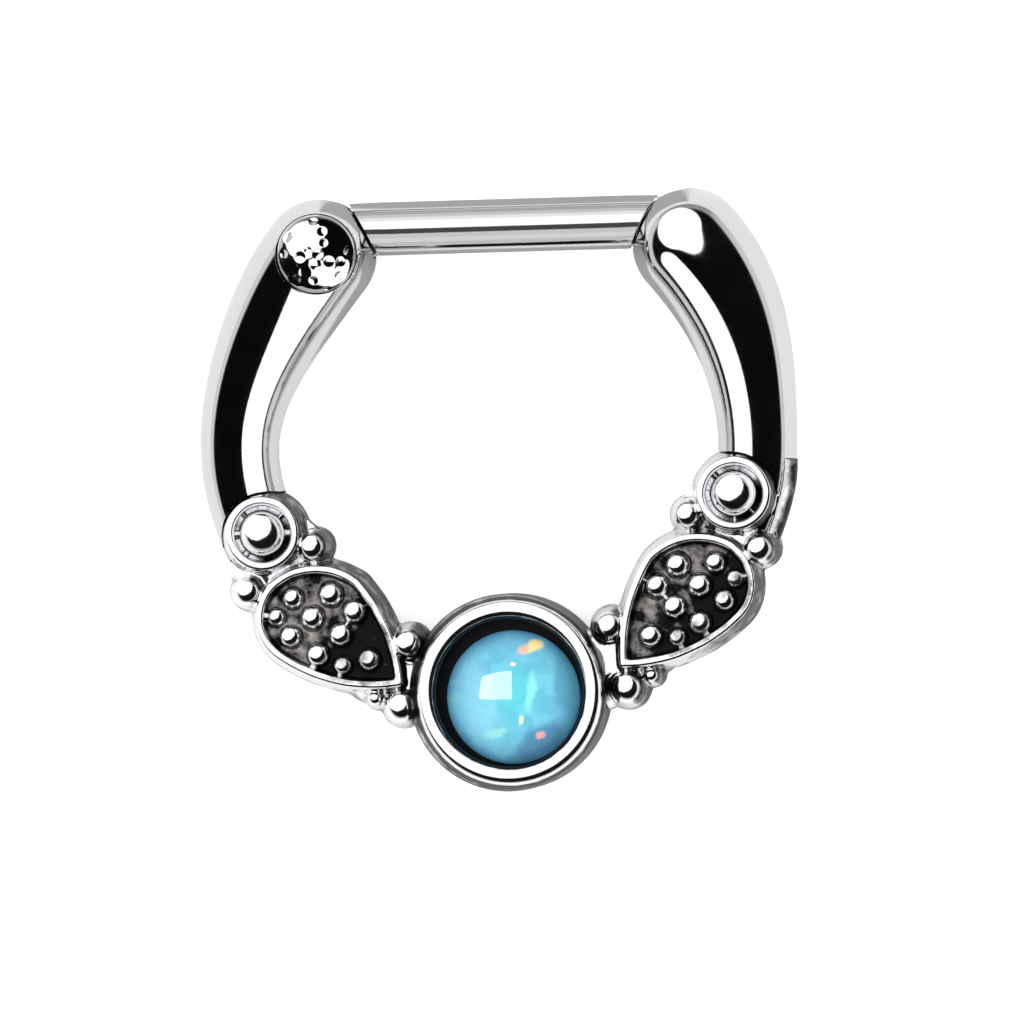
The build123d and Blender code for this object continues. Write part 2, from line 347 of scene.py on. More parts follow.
@dataclass(frozen=True)
class PolishedSteel:
    """Surgical stainless steel, 316L, ground and then buffed on a soft wheel.

    It gives the eye a colourless mirror, a little darker than silver. The wheel leaves a faint haze that
    comes and goes, and hairline marks that soften the edges of what it reflects.
    """

    name: str = "polished_steel_316l"
    colour: str = "#cfcfd0"
    haze_colour: str = "#c3c3c6"
    roughness: float = 0.055
    haze: float = 0.05
    haze_mm: float = 1.6
    line_mm: float = 0.05
    line_depth_mm: float = 0.0004

    def build(self) -> bpy.types.Material:
        """Make the material.

        Returns:
            The steel, ready to assign.
        """
        material = bpy.data.materials.new(self.name)
        material.use_nodes = True
        tree = material.node_tree
        shader = tree.nodes["Principled BSDF"]
        place = add_node(tree, "ShaderNodeTexCoord")
        haze = add_node(tree, "ShaderNodeTexNoise",
                        {"Scale": 1 / (self.haze_mm * MM), "Detail": 4.0, "Roughness": 0.6},
                        {"Vector": place.outputs["Object"]})
        rough = add_node(tree, "ShaderNodeMapRange",
                         {"From Min": 0.35, "From Max": 0.75, "To Min": self.roughness,
                          "To Max": self.roughness + self.haze}, {"Value": haze.outputs["Fac"]})
        tint = add_node(tree, "ShaderNodeMix",
                        {"data_type": "RGBA", 6: linear(self.colour), 7: linear(self.haze_colour)},
                        {0: haze.outputs["Fac"]})
        lines = add_node(tree, "ShaderNodeTexNoise",
                         {"Scale": 1 / (self.line_mm * MM), "Detail": 2.0, "Distortion": 0.4},
                         {"Vector": place.outputs["Object"]})
        bump = add_node(tree, "ShaderNodeBump", {"Strength": 0.6, "Distance": self.line_depth_mm * MM},
                        {"Height": lines.outputs["Fac"]})
        shader.inputs["Metallic"].default_value = 1.0
        tree.links.new(tint.outputs[2], shader.inputs["Base Color"])
        tree.links.new(rough.outputs["Result"], shader.inputs["Roughness"])
        tree.links.new(bump.outputs["Normal"], shader.inputs["Normal"])
        return material


@dataclass(frozen=True)
class AntiquedCasting:
    """Brass cast in one piece, silver plated, blackened with sulphide and buffed bright on its high places.

    It gives the eye white metal on every rim and bead and a soft near-black in the dishes and creases, with
    a thin warm grey where the wheel has half cleared the black away. The same grey and black also paint
    shade:
    the sides away from the lights and the low outer walls are darkened through the mesh's attribute.
    The skin is uneven from the mould.
    """

    name: str = "antiqued_silver_plated_casting"
    bright: str = "#e4e4e6"
    # Grey of the half-cleared black, which also gives the mid tones of the painted shade.
    worn_and_shade: str = "#969290"
    black: str = "#17171a"
    bright_roughness: float = 0.11
    black_roughness: float = 0.42
    mottle_mm: float = 0.34
    skin_mm: float = 0.30
    skin_depth_mm: float = 0.004

    def build(self) -> bpy.types.Material:
        """Make the material, which reads the mesh's attribute of patina and painted shade.

        Returns:
            The casting's finish, ready to assign.
        """
        material = bpy.data.materials.new(self.name)
        material.use_nodes = True
        tree = material.node_tree
        shader = tree.nodes["Principled BSDF"]
        place = add_node(tree, "ShaderNodeTexCoord")
        # The attribute holds the patina in the hollows together with painted shade.
        patina_and_shade = add_node(tree, "ShaderNodeAttribute", {"attribute_name": "patina_and_shade"})
        mottle = add_node(tree, "ShaderNodeTexNoise",
                          {"Scale": 1 / (self.mottle_mm * MM), "Detail": 3.0, "Roughness": 0.55},
                          {"Vector": place.outputs["Object"]})
        edge = add_node(tree, "ShaderNodeMath", {"operation": "MULTIPLY_ADD", 1: 1.10, 2: -0.55},
                        {0: mottle.outputs["Fac"]})
        dark = add_node(tree, "ShaderNodeMath", {"operation": "ADD", "use_clamp": True},
                        {0: patina_and_shade.outputs["Fac"], 1: edge.outputs["Value"]})
        colour = ramp(add_node(tree, "ShaderNodeValToRGB", None, {"Fac": dark.outputs["Value"]}),
                      [(0.18, self.bright), (0.42, self.worn_and_shade), (0.72, self.black)])
        rough = add_node(tree, "ShaderNodeMapRange",
                         {"From Min": 0.2, "From Max": 0.75, "To Min": self.bright_roughness,
                          "To Max": self.black_roughness}, {"Value": dark.outputs["Value"]})
        skin_noise = add_node(tree, "ShaderNodeTexNoise",
                              {"Scale": 1 / (self.skin_mm * MM), "Detail": 3.0, "Roughness": 0.5},
                              {"Vector": place.outputs["Object"]})
        bump = add_node(tree, "ShaderNodeBump", {"Strength": 0.7, "Distance": self.skin_depth_mm * MM},
                        {"Height": skin_noise.outputs["Fac"]})
        shader.inputs["Metallic"].default_value = 1.0
        tree.links.new(colour.outputs["Color"], shader.inputs["Base Color"])
        tree.links.new(rough.outputs["Result"], shader.inputs["Roughness"])
        tree.links.new(bump.outputs["Normal"], shader.inputs["Normal"])
        return material


@dataclass(frozen=True)
class StonePatch:
    """One patch of colour on the stone, most of them its flashes, some painted shade and one a painted
    highlight: its place from the stone's centre, its size and its colour.
    """

    x: float
    y: float
    length: float
    width: float
    turn: float
    colour: str
    strength: float


@dataclass(frozen=True)
class OpalStone:
    """Grown opal, cut as a cabochon and polished.

    It gives the eye a milky sky blue that deepens towards the edge, crossed by broken flashes of mint, with
    a few sparks of orange and pink, under a glassy skin. Two dark patches on its right and lower right edge
    are painted shade from the bezel's wall, and a small white patch near its top is a painted highlight.
    """

    name: str = "grown_opal_cabochon"
    centre: tuple[float, float] = (0.0, 0.0)
    heart: str = "#5cb8c6"
    body: str = "#66b2c8"
    edge: str = "#74bcd8"
    deep: str = "#5ca4c8"
    cell_mm: float = 0.30
    radius_mm: float = 1.5
    glow: float = 0.16
    skin_roughness: float = 0.03
    flashes_and_painted_light: tuple[StonePatch, ...] = (
        StonePatch(-0.72, -0.10, 1.00, 1.90, 8, "#84c4dc", 0.65),
        # Painted shade: the dark band that the bezel's wall casts on the stone's lower right edge.
        StonePatch(0.62, -0.98, 1.50, 0.70, 32, "#46749c", 0.70),
        # Painted shade: the same dark band on the stone's right edge.
        StonePatch(1.18, 0.30, 0.50, 1.70, 4, "#4b94ac", 0.65),
        StonePatch(0.10, 0.12, 1.10, 1.00, 10, "#58bec8", 0.55),
        StonePatch(0.44, 0.12, 0.26, 1.00, -8, "#8edccf", 0.70),
        StonePatch(-0.42, -0.76, 0.62, 0.24, 15, "#96d8cc", 0.65),
        StonePatch(-1.26, 0.02, 0.34, 0.30, 60, "#8fe6c8", 0.25),
        StonePatch(0.50, 1.16, 0.46, 0.28, 20, "#ffe79a", 0.95),
        StonePatch(0.28, 1.08, 0.30, 0.24, 40, "#f2b6a6", 0.80),
        StonePatch(0.62, -0.86, 0.34, 0.18, 35, "#f0a79c", 0.85),
        StonePatch(0.22, -0.52, 0.26, 0.10, 70, "#f2e6a0", 0.60),
        # Painted highlight: a small white spot of mirrored light near the top.
        StonePatch(0.06, 0.74, 0.14, 0.14, 0, "#ffffff", 0.95),
    )

    def build(self) -> bpy.types.Material:
        """Make the material.

        Returns:
            The stone's finish, ready to assign.
        """
        material = bpy.data.materials.new(self.name)
        material.use_nodes = True
        tree = material.node_tree
        shader = tree.nodes["Principled BSDF"]
        place = add_node(tree, "ShaderNodeTexCoord")
        local = add_node(tree, "ShaderNodeMapping",
                         {"Location": (-self.centre[0] / MM, -self.centre[1] / MM, 0.0),
                          "Scale": (1 / MM, 1 / MM, 0.0)}, {"Vector": place.outputs["Object"]})
        wander = add_node(tree, "ShaderNodeTexNoise", {"Scale": 1.6, "Detail": 4.0, "Roughness": 0.6},
                          {"Vector": local.outputs["Vector"]})
        shift = add_node(tree, "ShaderNodeVectorMath", {"operation": "SUBTRACT", 1: (0.5, 0.5, 0.5)},
                         {0: wander.outputs["Color"]})
        warped = add_node(tree, "ShaderNodeVectorMath", {"operation": "MULTIPLY_ADD", 1: (0.38, 0.38, 0.0)},
                          {0: shift.outputs["Vector"], 2: local.outputs["Vector"]})
        distance = add_node(tree, "ShaderNodeVectorMath", {"operation": "LENGTH"},
                            {0: warped.outputs["Vector"]})
        share = add_node(tree, "ShaderNodeMath", {"operation": "DIVIDE", 1: self.radius_mm},
                         {0: distance.outputs["Value"]})
        base = ramp(add_node(tree, "ShaderNodeValToRGB", None, {"Fac": share.outputs["Value"]}),
                    [(0.0, self.heart), (0.52, self.body), (0.84, self.edge), (1.0, self.deep)])
        cells = add_node(tree, "ShaderNodeTexVoronoi",
                         {"feature": "SMOOTH_F1", "Scale": 1 / self.cell_mm, "Smoothness": 0.6},
                         {"Vector": warped.outputs["Vector"]})
        flash = add_node(tree, "ShaderNodeSeparateColor", None, {"Color": cells.outputs["Color"]})
        colour = add_node(tree, "ShaderNodeMix", {"data_type": "RGBA", "blend_type": "SOFT_LIGHT", 0: 0.22},
                          {6: base.outputs["Color"], 7: flash.outputs["Red"]}).outputs[2]
        for patch in self.flashes_and_painted_light:
            colour = self._lay(tree, colour, warped.outputs["Vector"], patch)
        tree.links.new(colour, shader.inputs["Base Color"])
        # Painted light: the stone glows a little in its own colours, though it is no lamp.
        tree.links.new(colour, shader.inputs["Emission Color"])
        shader.inputs["Emission Strength"].default_value = self.glow
        shader.inputs["Roughness"].default_value = 0.30
        shader.inputs["IOR"].default_value = 1.45
        shader.inputs["Specular IOR Level"].default_value = 0.0
        shader.inputs["Coat Weight"].default_value = 1.0
        shader.inputs["Coat Roughness"].default_value = self.skin_roughness
        shader.inputs["Coat IOR"].default_value = 1.45
        return material

    @staticmethod
    def _lay(tree: bpy.types.NodeTree, under: bpy.types.NodeSocket, vector: bpy.types.NodeSocket,
             patch: StonePatch) -> bpy.types.NodeSocket:
        """Lay one patch over the colour so far: a flash of the stone, painted shade or a painted highlight.

        Args:
            tree: the stone's node tree.
            under: the colour so far.
            vector: place on the stone from its centre, in millimetres, with its wander.
            patch: what to lay.

        Returns:
            The colour with the flake in it.
        """
        along = add_node(tree, "ShaderNodeMapping",
                         {"vector_type": "TEXTURE", "Location": (patch.x, patch.y, 0.0),
                          "Rotation": (0.0, 0.0, math.radians(patch.turn)),
                          "Scale": (patch.length / 2, patch.width / 2, 1.0)}, {"Vector": vector})
        reach = add_node(tree, "ShaderNodeVectorMath", {"operation": "LENGTH"}, {0: along.outputs["Vector"]})
        mask = add_node(tree, "ShaderNodeMapRange",
                        {"interpolation_type": "SMOOTHSTEP", "From Min": 1.15, "From Max": 0.55,
                         "To Max": patch.strength}, {"Value": reach.outputs["Value"]})
        return add_node(tree, "ShaderNodeMix", {"data_type": "RGBA", 7: linear(patch.colour)},
                        {0: mask.outputs["Result"], 6: under}).outputs[2]


@dataclass(frozen=True)
class MattCard:
    """Matt white card, as a sweep in a small photo tent.

    It gives the eye nothing but a clean pale ground, lit a little from below. What mirrors it near the bar
    finds a grey patch of painted shade there, seen by mirror rays only, which draws the bar's edges.
    """

    name: str = "matt_white_card"
    colour: str = "#f4f4f4"
    grain: str = "#efefef"
    # Painted shade: grey that only mirror rays see, laid on the floor round the bar.
    painted_shade: str = "#b0b0b0"
    grain_mm: float = 0.8
    glow: float = 0.45
    painted_shade_at: Point2 = (0.0, 0.0)
    painted_shade_half: Point2 = (3.6, 9.0)
    painted_shade_fade: float = 0.8

    def build(self) -> bpy.types.Material:
        """Make the material.

        Returns:
            The floor's finish, ready to assign.
        """
        material = bpy.data.materials.new(self.name)
        material.use_nodes = True
        tree = material.node_tree
        shader = tree.nodes["Principled BSDF"]
        place = add_node(tree, "ShaderNodeTexCoord")
        fibre = add_node(tree, "ShaderNodeTexNoise", {"Scale": 1 / (self.grain_mm * MM), "Detail": 2.0},
                         {"Vector": place.outputs["Object"]})
        tint = add_node(tree, "ShaderNodeMix",
                        {"data_type": "RGBA", 6: linear(self.colour), 7: linear(self.grain)},
                        {0: fibre.outputs["Fac"]})
        path = add_node(tree, "ShaderNodeLightPath")
        # Painted shade: a soft-edged grey box round the bar, which only mirror rays see.
        from_painted_shade = add_node(tree, "ShaderNodeVectorMath",
                            {"operation": "SUBTRACT", 1: (self.painted_shade_at[0] * MM, self.painted_shade_at[1] * MM, 0.0)},
                            {0: place.outputs["Object"]})
        away = add_node(tree, "ShaderNodeVectorMath", {"operation": "ABSOLUTE"},
                        {0: from_painted_shade.outputs["Vector"]})
        axes = add_node(tree, "ShaderNodeSeparateXYZ", None, {"Vector": away.outputs["Vector"]})
        share = path.outputs["Is Glossy Ray"]
        for axis, half in zip("XY", self.painted_shade_half):
            within = add_node(tree, "ShaderNodeMapRange",
                              {"interpolation_type": "SMOOTHSTEP", "From Min": (half + self.painted_shade_fade) * MM,
                               "From Max": half * MM}, {"Value": axes.outputs[axis]})
            share = add_node(tree, "ShaderNodeMath", {"operation": "MULTIPLY"},
                             {0: share, 1: within.outputs["Result"]}).outputs["Value"]
        colour = add_node(tree, "ShaderNodeMix", {"data_type": "RGBA", 7: linear(self.painted_shade)},
                          {0: share, 6: tint.outputs[2]})
        glow = add_node(tree, "ShaderNodeMath", {"operation": "MULTIPLY_ADD", 1: -self.glow, 2: self.glow},
                        {0: path.outputs["Is Glossy Ray"]})
        tree.links.new(colour.outputs[2], shader.inputs["Base Color"])
        tree.links.new(tint.outputs[2], shader.inputs["Emission Color"])
        tree.links.new(glow.outputs["Value"], shader.inputs["Emission Strength"])
        shader.inputs["Roughness"].default_value = 0.9
        shader.inputs["Specular IOR Level"].default_value = 0.1
        return material


# The ring's own frame


@dataclass(frozen=True)
class RingFrame:
    """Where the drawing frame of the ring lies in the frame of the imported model."""

    ball_span: float = 8.35
    middle: Vector = field(default_factory=Vector)

    @classmethod
    def from_pin(cls) -> "RingFrame":
        """Find the frame from the hinge pin, which stands in the centre of the left ball."""
        low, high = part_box("hinge_pin")
        pin = (low + high) / 2 / MM
        return cls(middle=Vector((pin.x + cls.ball_span / 2, pin.y, 0.0)))

    def piece(self, name: str, mesh: bpy.types.Mesh, body: Body, slot: Slot, finish: bpy.types.Material,
              replaces: str | None = None, crease: float = 38.0) -> bpy.types.Object:
        """Turn a mesh in millimetres into a dressed piece of the ring.

        Args:
            name: the piece's name.
            mesh: its mesh in the drawing frame.
            body: the body that it moves with.
            slot: the record's material slot of its finish; not used.
            finish: its material.
            replaces: the CAD node that it stands for, if it does.
            crease: edges sharper than this many degrees stay crisp.

        Returns:
            The new object.
        """
        mesh.name = name
        mesh.transform(Matrix.Scale(MM, 4) @ Matrix.Translation(self.middle))
        mesh.shade_smooth()
        mesh.set_sharp_from_angle(angle=math.radians(crease))
        mesh.materials.clear()
        mesh.materials.append(finish)
        piece = bpy.data.objects.new(name, mesh)
        bpy.context.scene.collection.objects.link(piece)
        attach(piece, body.value)
        if replaces:
            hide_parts(replaces)
        LOG.info("%s: %d faces, on %s", name, len(mesh.polygons), body.value)
        return piece


@dataclass(frozen=True)
class CentreLine:
    """The rod's centre line: one smooth curve through the places where the bender holds it."""

    route: tuple[Point2, ...] = (
        (-4.175, 0.0), (-5.18, -1.50), (-6.09, -4.11), (-4.30, -8.27), (-0.15, -10.07), (3.93, -7.97),
        (5.46, -5.55), (5.585, -4.09), (4.975, -1.26), (4.175, 0.0))
    samples: int = 8001

    def __post_init__(self) -> None:
        """Solve the curve once and keep it as closely spaced points."""
        points = np.array(self.route)
        knots = np.concatenate([[0.0], np.cumsum(np.linalg.norm(np.diff(points, axis=0), axis=1))])
        step = np.diff(knots)
        count = len(points)
        system, right = np.eye(count), np.zeros((count, 2))
        right[0] = self._end_slope(knots[:4], points[:4], 0)
        right[-1] = self._end_slope(knots[-4:], points[-4:], 3)
        for i in range(1, count - 1):
            before, after = 1 / step[i - 1], 1 / step[i]
            system[i, i - 1:i + 2] = before, 2 * (before + after), after
            right[i] = 3 * ((points[i] - points[i - 1]) * before ** 2
                            + (points[i + 1] - points[i]) * after ** 2)
        slopes = np.linalg.solve(system, right)
        at = np.linspace(0.0, knots[-1], self.samples)
        i = np.clip(np.searchsorted(knots, at, side="right") - 1, 0, count - 2)
        s, h = ((at - knots[i]) / step[i])[:, None], step[i][:, None]
        line = ((2 * s ** 3 - 3 * s ** 2 + 1) * points[i] + (s ** 3 - 2 * s ** 2 + s) * h * slopes[i]
                + (3 * s ** 2 - 2 * s ** 3) * points[i + 1] + (s ** 3 - s ** 2) * h * slopes[i + 1])
        run = np.concatenate([[0.0], np.cumsum(np.linalg.norm(np.diff(line, axis=0), axis=1))])
        object.__setattr__(self, "_line", line)
        object.__setattr__(self, "_run", run)
        object.__setattr__(self, "length", float(run[-1]))

    @staticmethod
    def _end_slope(knots: np.ndarray, points: np.ndarray, end: int) -> np.ndarray:
        """Slope, at one of four points, of the cubic through all four.

        Args:
            knots: the curve's parameter at each point.
            points: the four points.
            end: which of the points.

        Returns:
            The derivative there.
        """
        cubic = np.polyfit(knots - knots[end], points, 3)
        return cubic[2]

    def at(self, shares: np.ndarray) -> np.ndarray:
        """Points at these shares of the line's length, as rows of x, y."""
        places = np.asarray(shares) * self.length
        return np.stack([np.interp(places, self._run, self._line[:, k]) for k in (0, 1)], axis=-1)

    def sideways(self, shares: np.ndarray) -> np.ndarray:
        """Unit vectors square to the line, pointing out of the ring, as rows of x, y."""
        reach = 2e-4
        along = self.at(np.minimum(shares + reach, 1)) - self.at(np.maximum(shares - reach, 0))
        along /= np.linalg.norm(along, axis=1)[:, None]
        return np.stack([along[:, 1], -along[:, 0]], axis=-1)

    def sweep(self, outline: np.ndarray, shares: np.ndarray, centre_z: float,
              scale: np.ndarray | None = None) -> np.ndarray:
        """Rings of an outline carried along the line.

        Args:
            outline: rows of sideways and upward distance from the line.
            shares: where the rings stand, as shares of the length.
            centre_z: height of the line.
            scale: size of the outline at each ring, or None for its own size.

        Returns:
            An array of rings by points by 3.
        """
        size = np.ones(len(shares)) if scale is None else scale
        centre, side = self.at(shares), self.sideways(shares)
        out = size[:, None] * outline[None, :, 0]
        up = size[:, None] * outline[None, :, 1] + centre_z
        flat = centre[:, None, :] + side[:, None, :] * out[:, :, None]
        return np.concatenate([flat, up[:, :, None]], axis=2)


# Steel pieces


@dataclass(frozen=True)
class Hoop:
    """Horseshoe of round rod that swells to a ball at each end, with a slot in each ball for the bar."""

    ring: RingFrame
    line: CentreLine
    ball_r: float = 1.28
    rod_r: float = 0.885
    taper_length: float = 5.0
    mid_z: float = 1.285
    span: tuple[float, float] = (0.266, 0.759)
    wells: tuple[bpy.types.Mesh, ...] = ()
    slot_w: float = 0.58
    slot_gap: float = 0.05
    bar_rise: float = 0.55
    tongue_half: float = 0.54
    latch_reach: float = 0.15
    eye_r: float = 0.70
    pin_hole_r: float = 0.295
    seat_r: float = 0.92
    seat_depth: float = 0.83
    around: int = 128
    along: int = 360

    def radius(self, shares: np.ndarray) -> np.ndarray:
        """Radius of the rod at these shares of its length."""
        distance = np.minimum(shares, 1 - shares) * self.line.length
        swell = 0.5 + 0.5 * np.cos(math.pi * np.minimum(distance / self.taper_length, 1.0))
        return self.rod_r + (self.ball_r - self.rod_r) * swell

    def rod(self) -> bpy.types.Mesh:
        """The rod with its round ends and the flat seat under the casting.

        Returns:
            A closed mesh.
        """
        angle = np.linspace(0, 2 * math.pi, self.around, endpoint=False)
        outline = np.stack([np.cos(angle), np.sin(angle)], axis=-1)
        edge = 1e-5
        shares = np.unique(np.concatenate([
            np.linspace(0, 1, self.along), [self.span[0] - edge, self.span[0], self.span[1],
                                            self.span[1] + edge]]))
        rings = self.line.sweep(outline, shares, self.mid_z, self.radius(shares))
        under = (shares >= self.span[0]) & (shares <= self.span[1])
        rings[under, :, 2] = np.minimum(rings[under, :, 2], self.mid_z)
        ends = [self._end(outline, share, sign) for share, sign in ((0.0, -1), (1.0, 1))]
        return skin(np.concatenate([ends[0][::-1], rings, ends[1]]))

    def _end(self, outline: np.ndarray, share: float, sign: int) -> np.ndarray:
        """Rings of the half ball that closes one end, from the rod outwards."""
        centre = self.line.at(np.array([share]))[0]
        side = self.line.sideways(np.array([share]))[0]
        along = np.array([-side[1], side[0]]) * sign
        turns = np.linspace(0, math.pi / 2, 33)[1:]
        turns[-1] = math.pi / 2 - 0.004
        rings = []
        for turn in turns:
            ring, reach = math.cos(turn) * self.ball_r, math.sin(turn) * self.ball_r
            flat = centre + along * reach + side * (outline[:, :1] * ring)
            rings.append(np.column_stack([flat, outline[:, 1] * ring + self.mid_z]))
        return np.array(rings)

    def cutters(self) -> list[bpy.types.Mesh]:
        """Tools for the two slots, the pin's hole, the seat of its head and the wells under the cups."""
        half, far = self.slot_w / 2, 2 * self.ball_r
        low, high = self.mid_z - half, self.mid_z + half
        left = Matrix.Translation((-self.ring.ball_span / 2, 0, 0))
        open_place = left @ Matrix.Rotation(math.radians(95), 4, "Z")
        grown, root = self.tongue_half + self.slot_gap, self.ball_r + 0.10
        tongue = circle(0, 0, self.eye_r + self.slot_gap) + [
            (x, y) for x in (0.9, root) for y in (self.bar_rise - grown, self.bar_rise + grown)]
        sweep = [(0, 0), (far, 0), (far, far), (-self.ball_r, far), (-far, self.ball_r)]
        floor, stop = self.bar_rise - grown, -self.latch_reach + 2 * self.slot_gap
        latch = [(x + self.ring.ball_span / 2, y) for x in (stop - far, stop) for y in (floor, floor + far)]
        seat = turned([(self.seat_r, self.mid_z + self.seat_depth), (self.seat_r, 4.0)], 128)
        hole = turned([(self.pin_hole_r, -1.0), (self.pin_hole_r, 4.0)], 64)
        return [moved(plate(tongue, low, high), left), moved(plate(tongue, low, high), open_place),
                moved(plate(sweep, low, high), left), plate(latch, low, high),
                moved(skin(seat), left), moved(skin(hole), left), *self.wells]

    def build(self, finish: bpy.types.Material) -> bpy.types.Object:
        """Make the hoop and dress it."""
        mesh = cut(self.rod(), *self.cutters())
        return self.ring.piece("hoop_rod", mesh, Body.RING, Slot.STEEL, finish, "hoop")


@dataclass(frozen=True)
class ClickerBar:
    """Straight round bar whose hollowed ends fit the balls, with a flat tongue at each end."""

    ring: RingFrame
    radius: float = 0.60
    free: float = 5.60
    end_r: float = 0.585
    rise: float = 0.55
    mid_z: float = 1.285
    ball_r: float = 1.28
    shoulder_gap: float = 0.05
    tongue_t: float = 0.50
    tongue_half: float = 0.54
    tongue_edge: float = 0.03
    eye_r: float = 0.70
    eye_hole_r: float = 0.31
    latch_reach: float = 0.15
    latch_round: float = 0.20
    around: int = 128

    def round_bar(self) -> bpy.types.Mesh:
        """The round part, from one hollowed end to the other.

        Returns:
            A closed mesh.
        """
        angle = np.linspace(0, 2 * math.pi, self.around, endpoint=False)
        half = self.ring.ball_span / 2
        hollow = self.ball_r + self.shoulder_gap
        rows = []
        for sign in (-1, 1):
            end = []
            for share in np.sqrt(np.linspace(0.0004, 1.0, 18)):
                y, z = share * self.end_r * np.cos(angle), share * self.end_r * np.sin(angle)
                depth = np.sqrt(hollow ** 2 - (self.rise + y) ** 2 - z ** 2)
                end.append(np.stack([sign * (half - depth), y, z], axis=-1))
            rows.append(end if sign < 0 else end[::-1])
        places = np.linspace(-self.free / 2, self.free / 2, 29)
        body = [np.stack([x + 0 * angle, self.radius * np.cos(angle), self.radius * np.sin(angle)], axis=-1)
                for x in places]
        body[0][:, 0] = np.minimum(body[0][:, 0], rows[0][-1][:, 0] + 0.02)
        rings = np.array([*rows[0], *body, *rows[1]])
        left, right = rows[0][-1][:, 0], rows[1][0][:, 0]
        share = (places[:, None] + self.free / 2) / self.free
        rings[18:18 + len(places), :, 0] = np.clip(places[:, None], left[None] + 0.01 + 0.02 * share,
                                                   right[None] - 0.03 + 0.02 * share)
        rings += (0, self.rise, self.mid_z)
        return skin(rings)

    def tongues(self) -> list[bpy.types.Mesh]:
        """The hinge tongue with its eye and the latch tongue."""
        low, high = self.mid_z - self.tongue_t / 2, self.mid_z + self.tongue_t / 2
        span, root = self.ring.ball_span / 2, self.ball_r + 0.10
        edges = (self.rise - self.tongue_half, self.rise + self.tongue_half)
        eye = circle(0, 0, self.eye_r) + [(x, y) for x in (0.9, root) for y in edges]
        hinge = moved(plate(eye, low, high), Matrix.Translation((-span, 0, 0)))
        tip, r = -self.latch_reach, self.latch_round
        latch = [(-root, y) for y in edges]
        for y, sign in zip(edges, (-1, 1)):
            latch += [(tip - r + r * math.cos(t), y - sign * r + sign * r * math.sin(t))
                      for t in np.linspace(0, math.pi / 2, 12)]
        latch_plate = moved(plate(latch, low, high), Matrix.Translation((span, 0, 0)))
        bevel = ("BEVEL", {"width": self.tongue_edge, "segments": 3, "limit_method": "ANGLE",
                           "angle_limit": math.radians(50)})
        hole = moved(skin(turned([(self.eye_hole_r, 0.0), (self.eye_hole_r, 3.0)], 64)),
                     Matrix.Translation((-span, 0, 0)))
        return [cut(worked(hinge, bevel), hole), worked(latch_plate, bevel)]

    def build(self, finish: bpy.types.Material) -> bpy.types.Object:
        """Make the bar and dress it."""
        mesh = joined([self.round_bar(), *self.tongues()])
        return self.ring.piece("straight_bar", mesh, Body.BAR, Slot.STEEL, finish, "clicker_bar")


@dataclass(frozen=True)
class HingePin:
    """Rivet on which the bar turns. Its broad head is peened flat with a small round-nosed hammer."""

    ring: RingFrame
    shaft_r: float = 0.28
    head_r: float = 0.90
    head_depth: float = 0.85
    ball_r: float = 1.28
    proud: float = 0.03
    mid_z: float = 1.285
    edge: float = 0.035
    dents: int = 24
    dent_spread: float = 0.165
    dent_r: float = 0.125
    dent_depth: float = 0.030
    golden_turn: float = 2.39996

    def hammered(self, x: np.ndarray, y: np.ndarray) -> np.ndarray:
        """Depth of the hammer marks: soft round dents, set about the head without a pattern.

        Args:
            x: sideways place of each point from the pin's axis.
            y: upward place of each point from the pin's axis.

        Returns:
            How far each point is beaten in.
        """
        depth = np.zeros_like(x)
        for i in range(self.dents):
            stray = noise.noise_vector(Vector((i * 1.37, 4.1, 0.6)))
            turn, out = i * self.golden_turn, self.dent_spread * math.sqrt(i + 0.3)
            cx = out * math.cos(turn) + 0.09 * stray.x
            cy = out * math.sin(turn) + 0.09 * stray.y
            radius = self.dent_r * (1 + 0.6 * stray.z)
            bowl = np.clip(1 - ((x - cx) ** 2 + (y - cy) ** 2) / radius ** 2, 0, None)
            depth = np.maximum(depth, self.dent_depth * bowl)
        return depth

    def build(self, finish: bpy.types.Material) -> bpy.types.Object:
        """Make the pin and dress it."""
        cap = self.ball_r + self.proud
        skirt = math.sqrt(cap ** 2 - self.head_r ** 2)
        tail = math.sqrt(self.ball_r ** 2 - self.shaft_r ** 2)
        profile: list[Point2] = [(r, -math.sqrt(self.ball_r ** 2 - r * r)) for r in (0.004, 0.12, 0.20, 0.25)]
        profile += [(self.shaft_r, 0.03 - tail), (self.shaft_r, self.head_depth),
                    (self.head_r - 0.02, self.head_depth), (self.head_r, self.head_depth + 0.015)]
        inner = self.head_r - self.edge
        profile += arc_through((self.head_r, skirt - self.edge), (self.head_r - 0.01, skirt - 0.006),
                               (inner, math.sqrt(cap ** 2 - inner ** 2)), 5)
        profile += [(r, math.sqrt(cap ** 2 - r * r)) for r in np.linspace(inner, 0.004, 72)[1:]]
        rings = turned(profile, 160)
        rings += (0, 0, self.mid_z)
        head = rings[..., 2] > self.mid_z + self.head_depth + 0.02
        x, y = rings[..., 0], rings[..., 1]
        calm = smooth_step(self.head_r - 0.03, self.head_r - 0.16, np.hypot(x, y))
        rings[..., 2] -= np.where(head, self.hammered(x, y) * calm, 0)
        mesh = moved(skin(rings), Matrix.Translation((-self.ring.ball_span / 2, 0, 0)))
        return self.ring.piece("peened_pin", mesh, Body.RING, Slot.STEEL, finish, "hinge_pin")


# The casting


@dataclass(frozen=True)
class OrnamentPlace:
    """Where the casting sits on the ring, drawn round its own centre and fixed a little askew."""

    at: Point2 = (0.01, -9.94)
    turn: float = 3.3

    def matrix(self) -> Matrix:
        """Carries the casting's own frame onto the ring."""
        return Matrix.Translation((*self.at, 0)) @ Matrix.Rotation(math.radians(self.turn), 4, "Z")


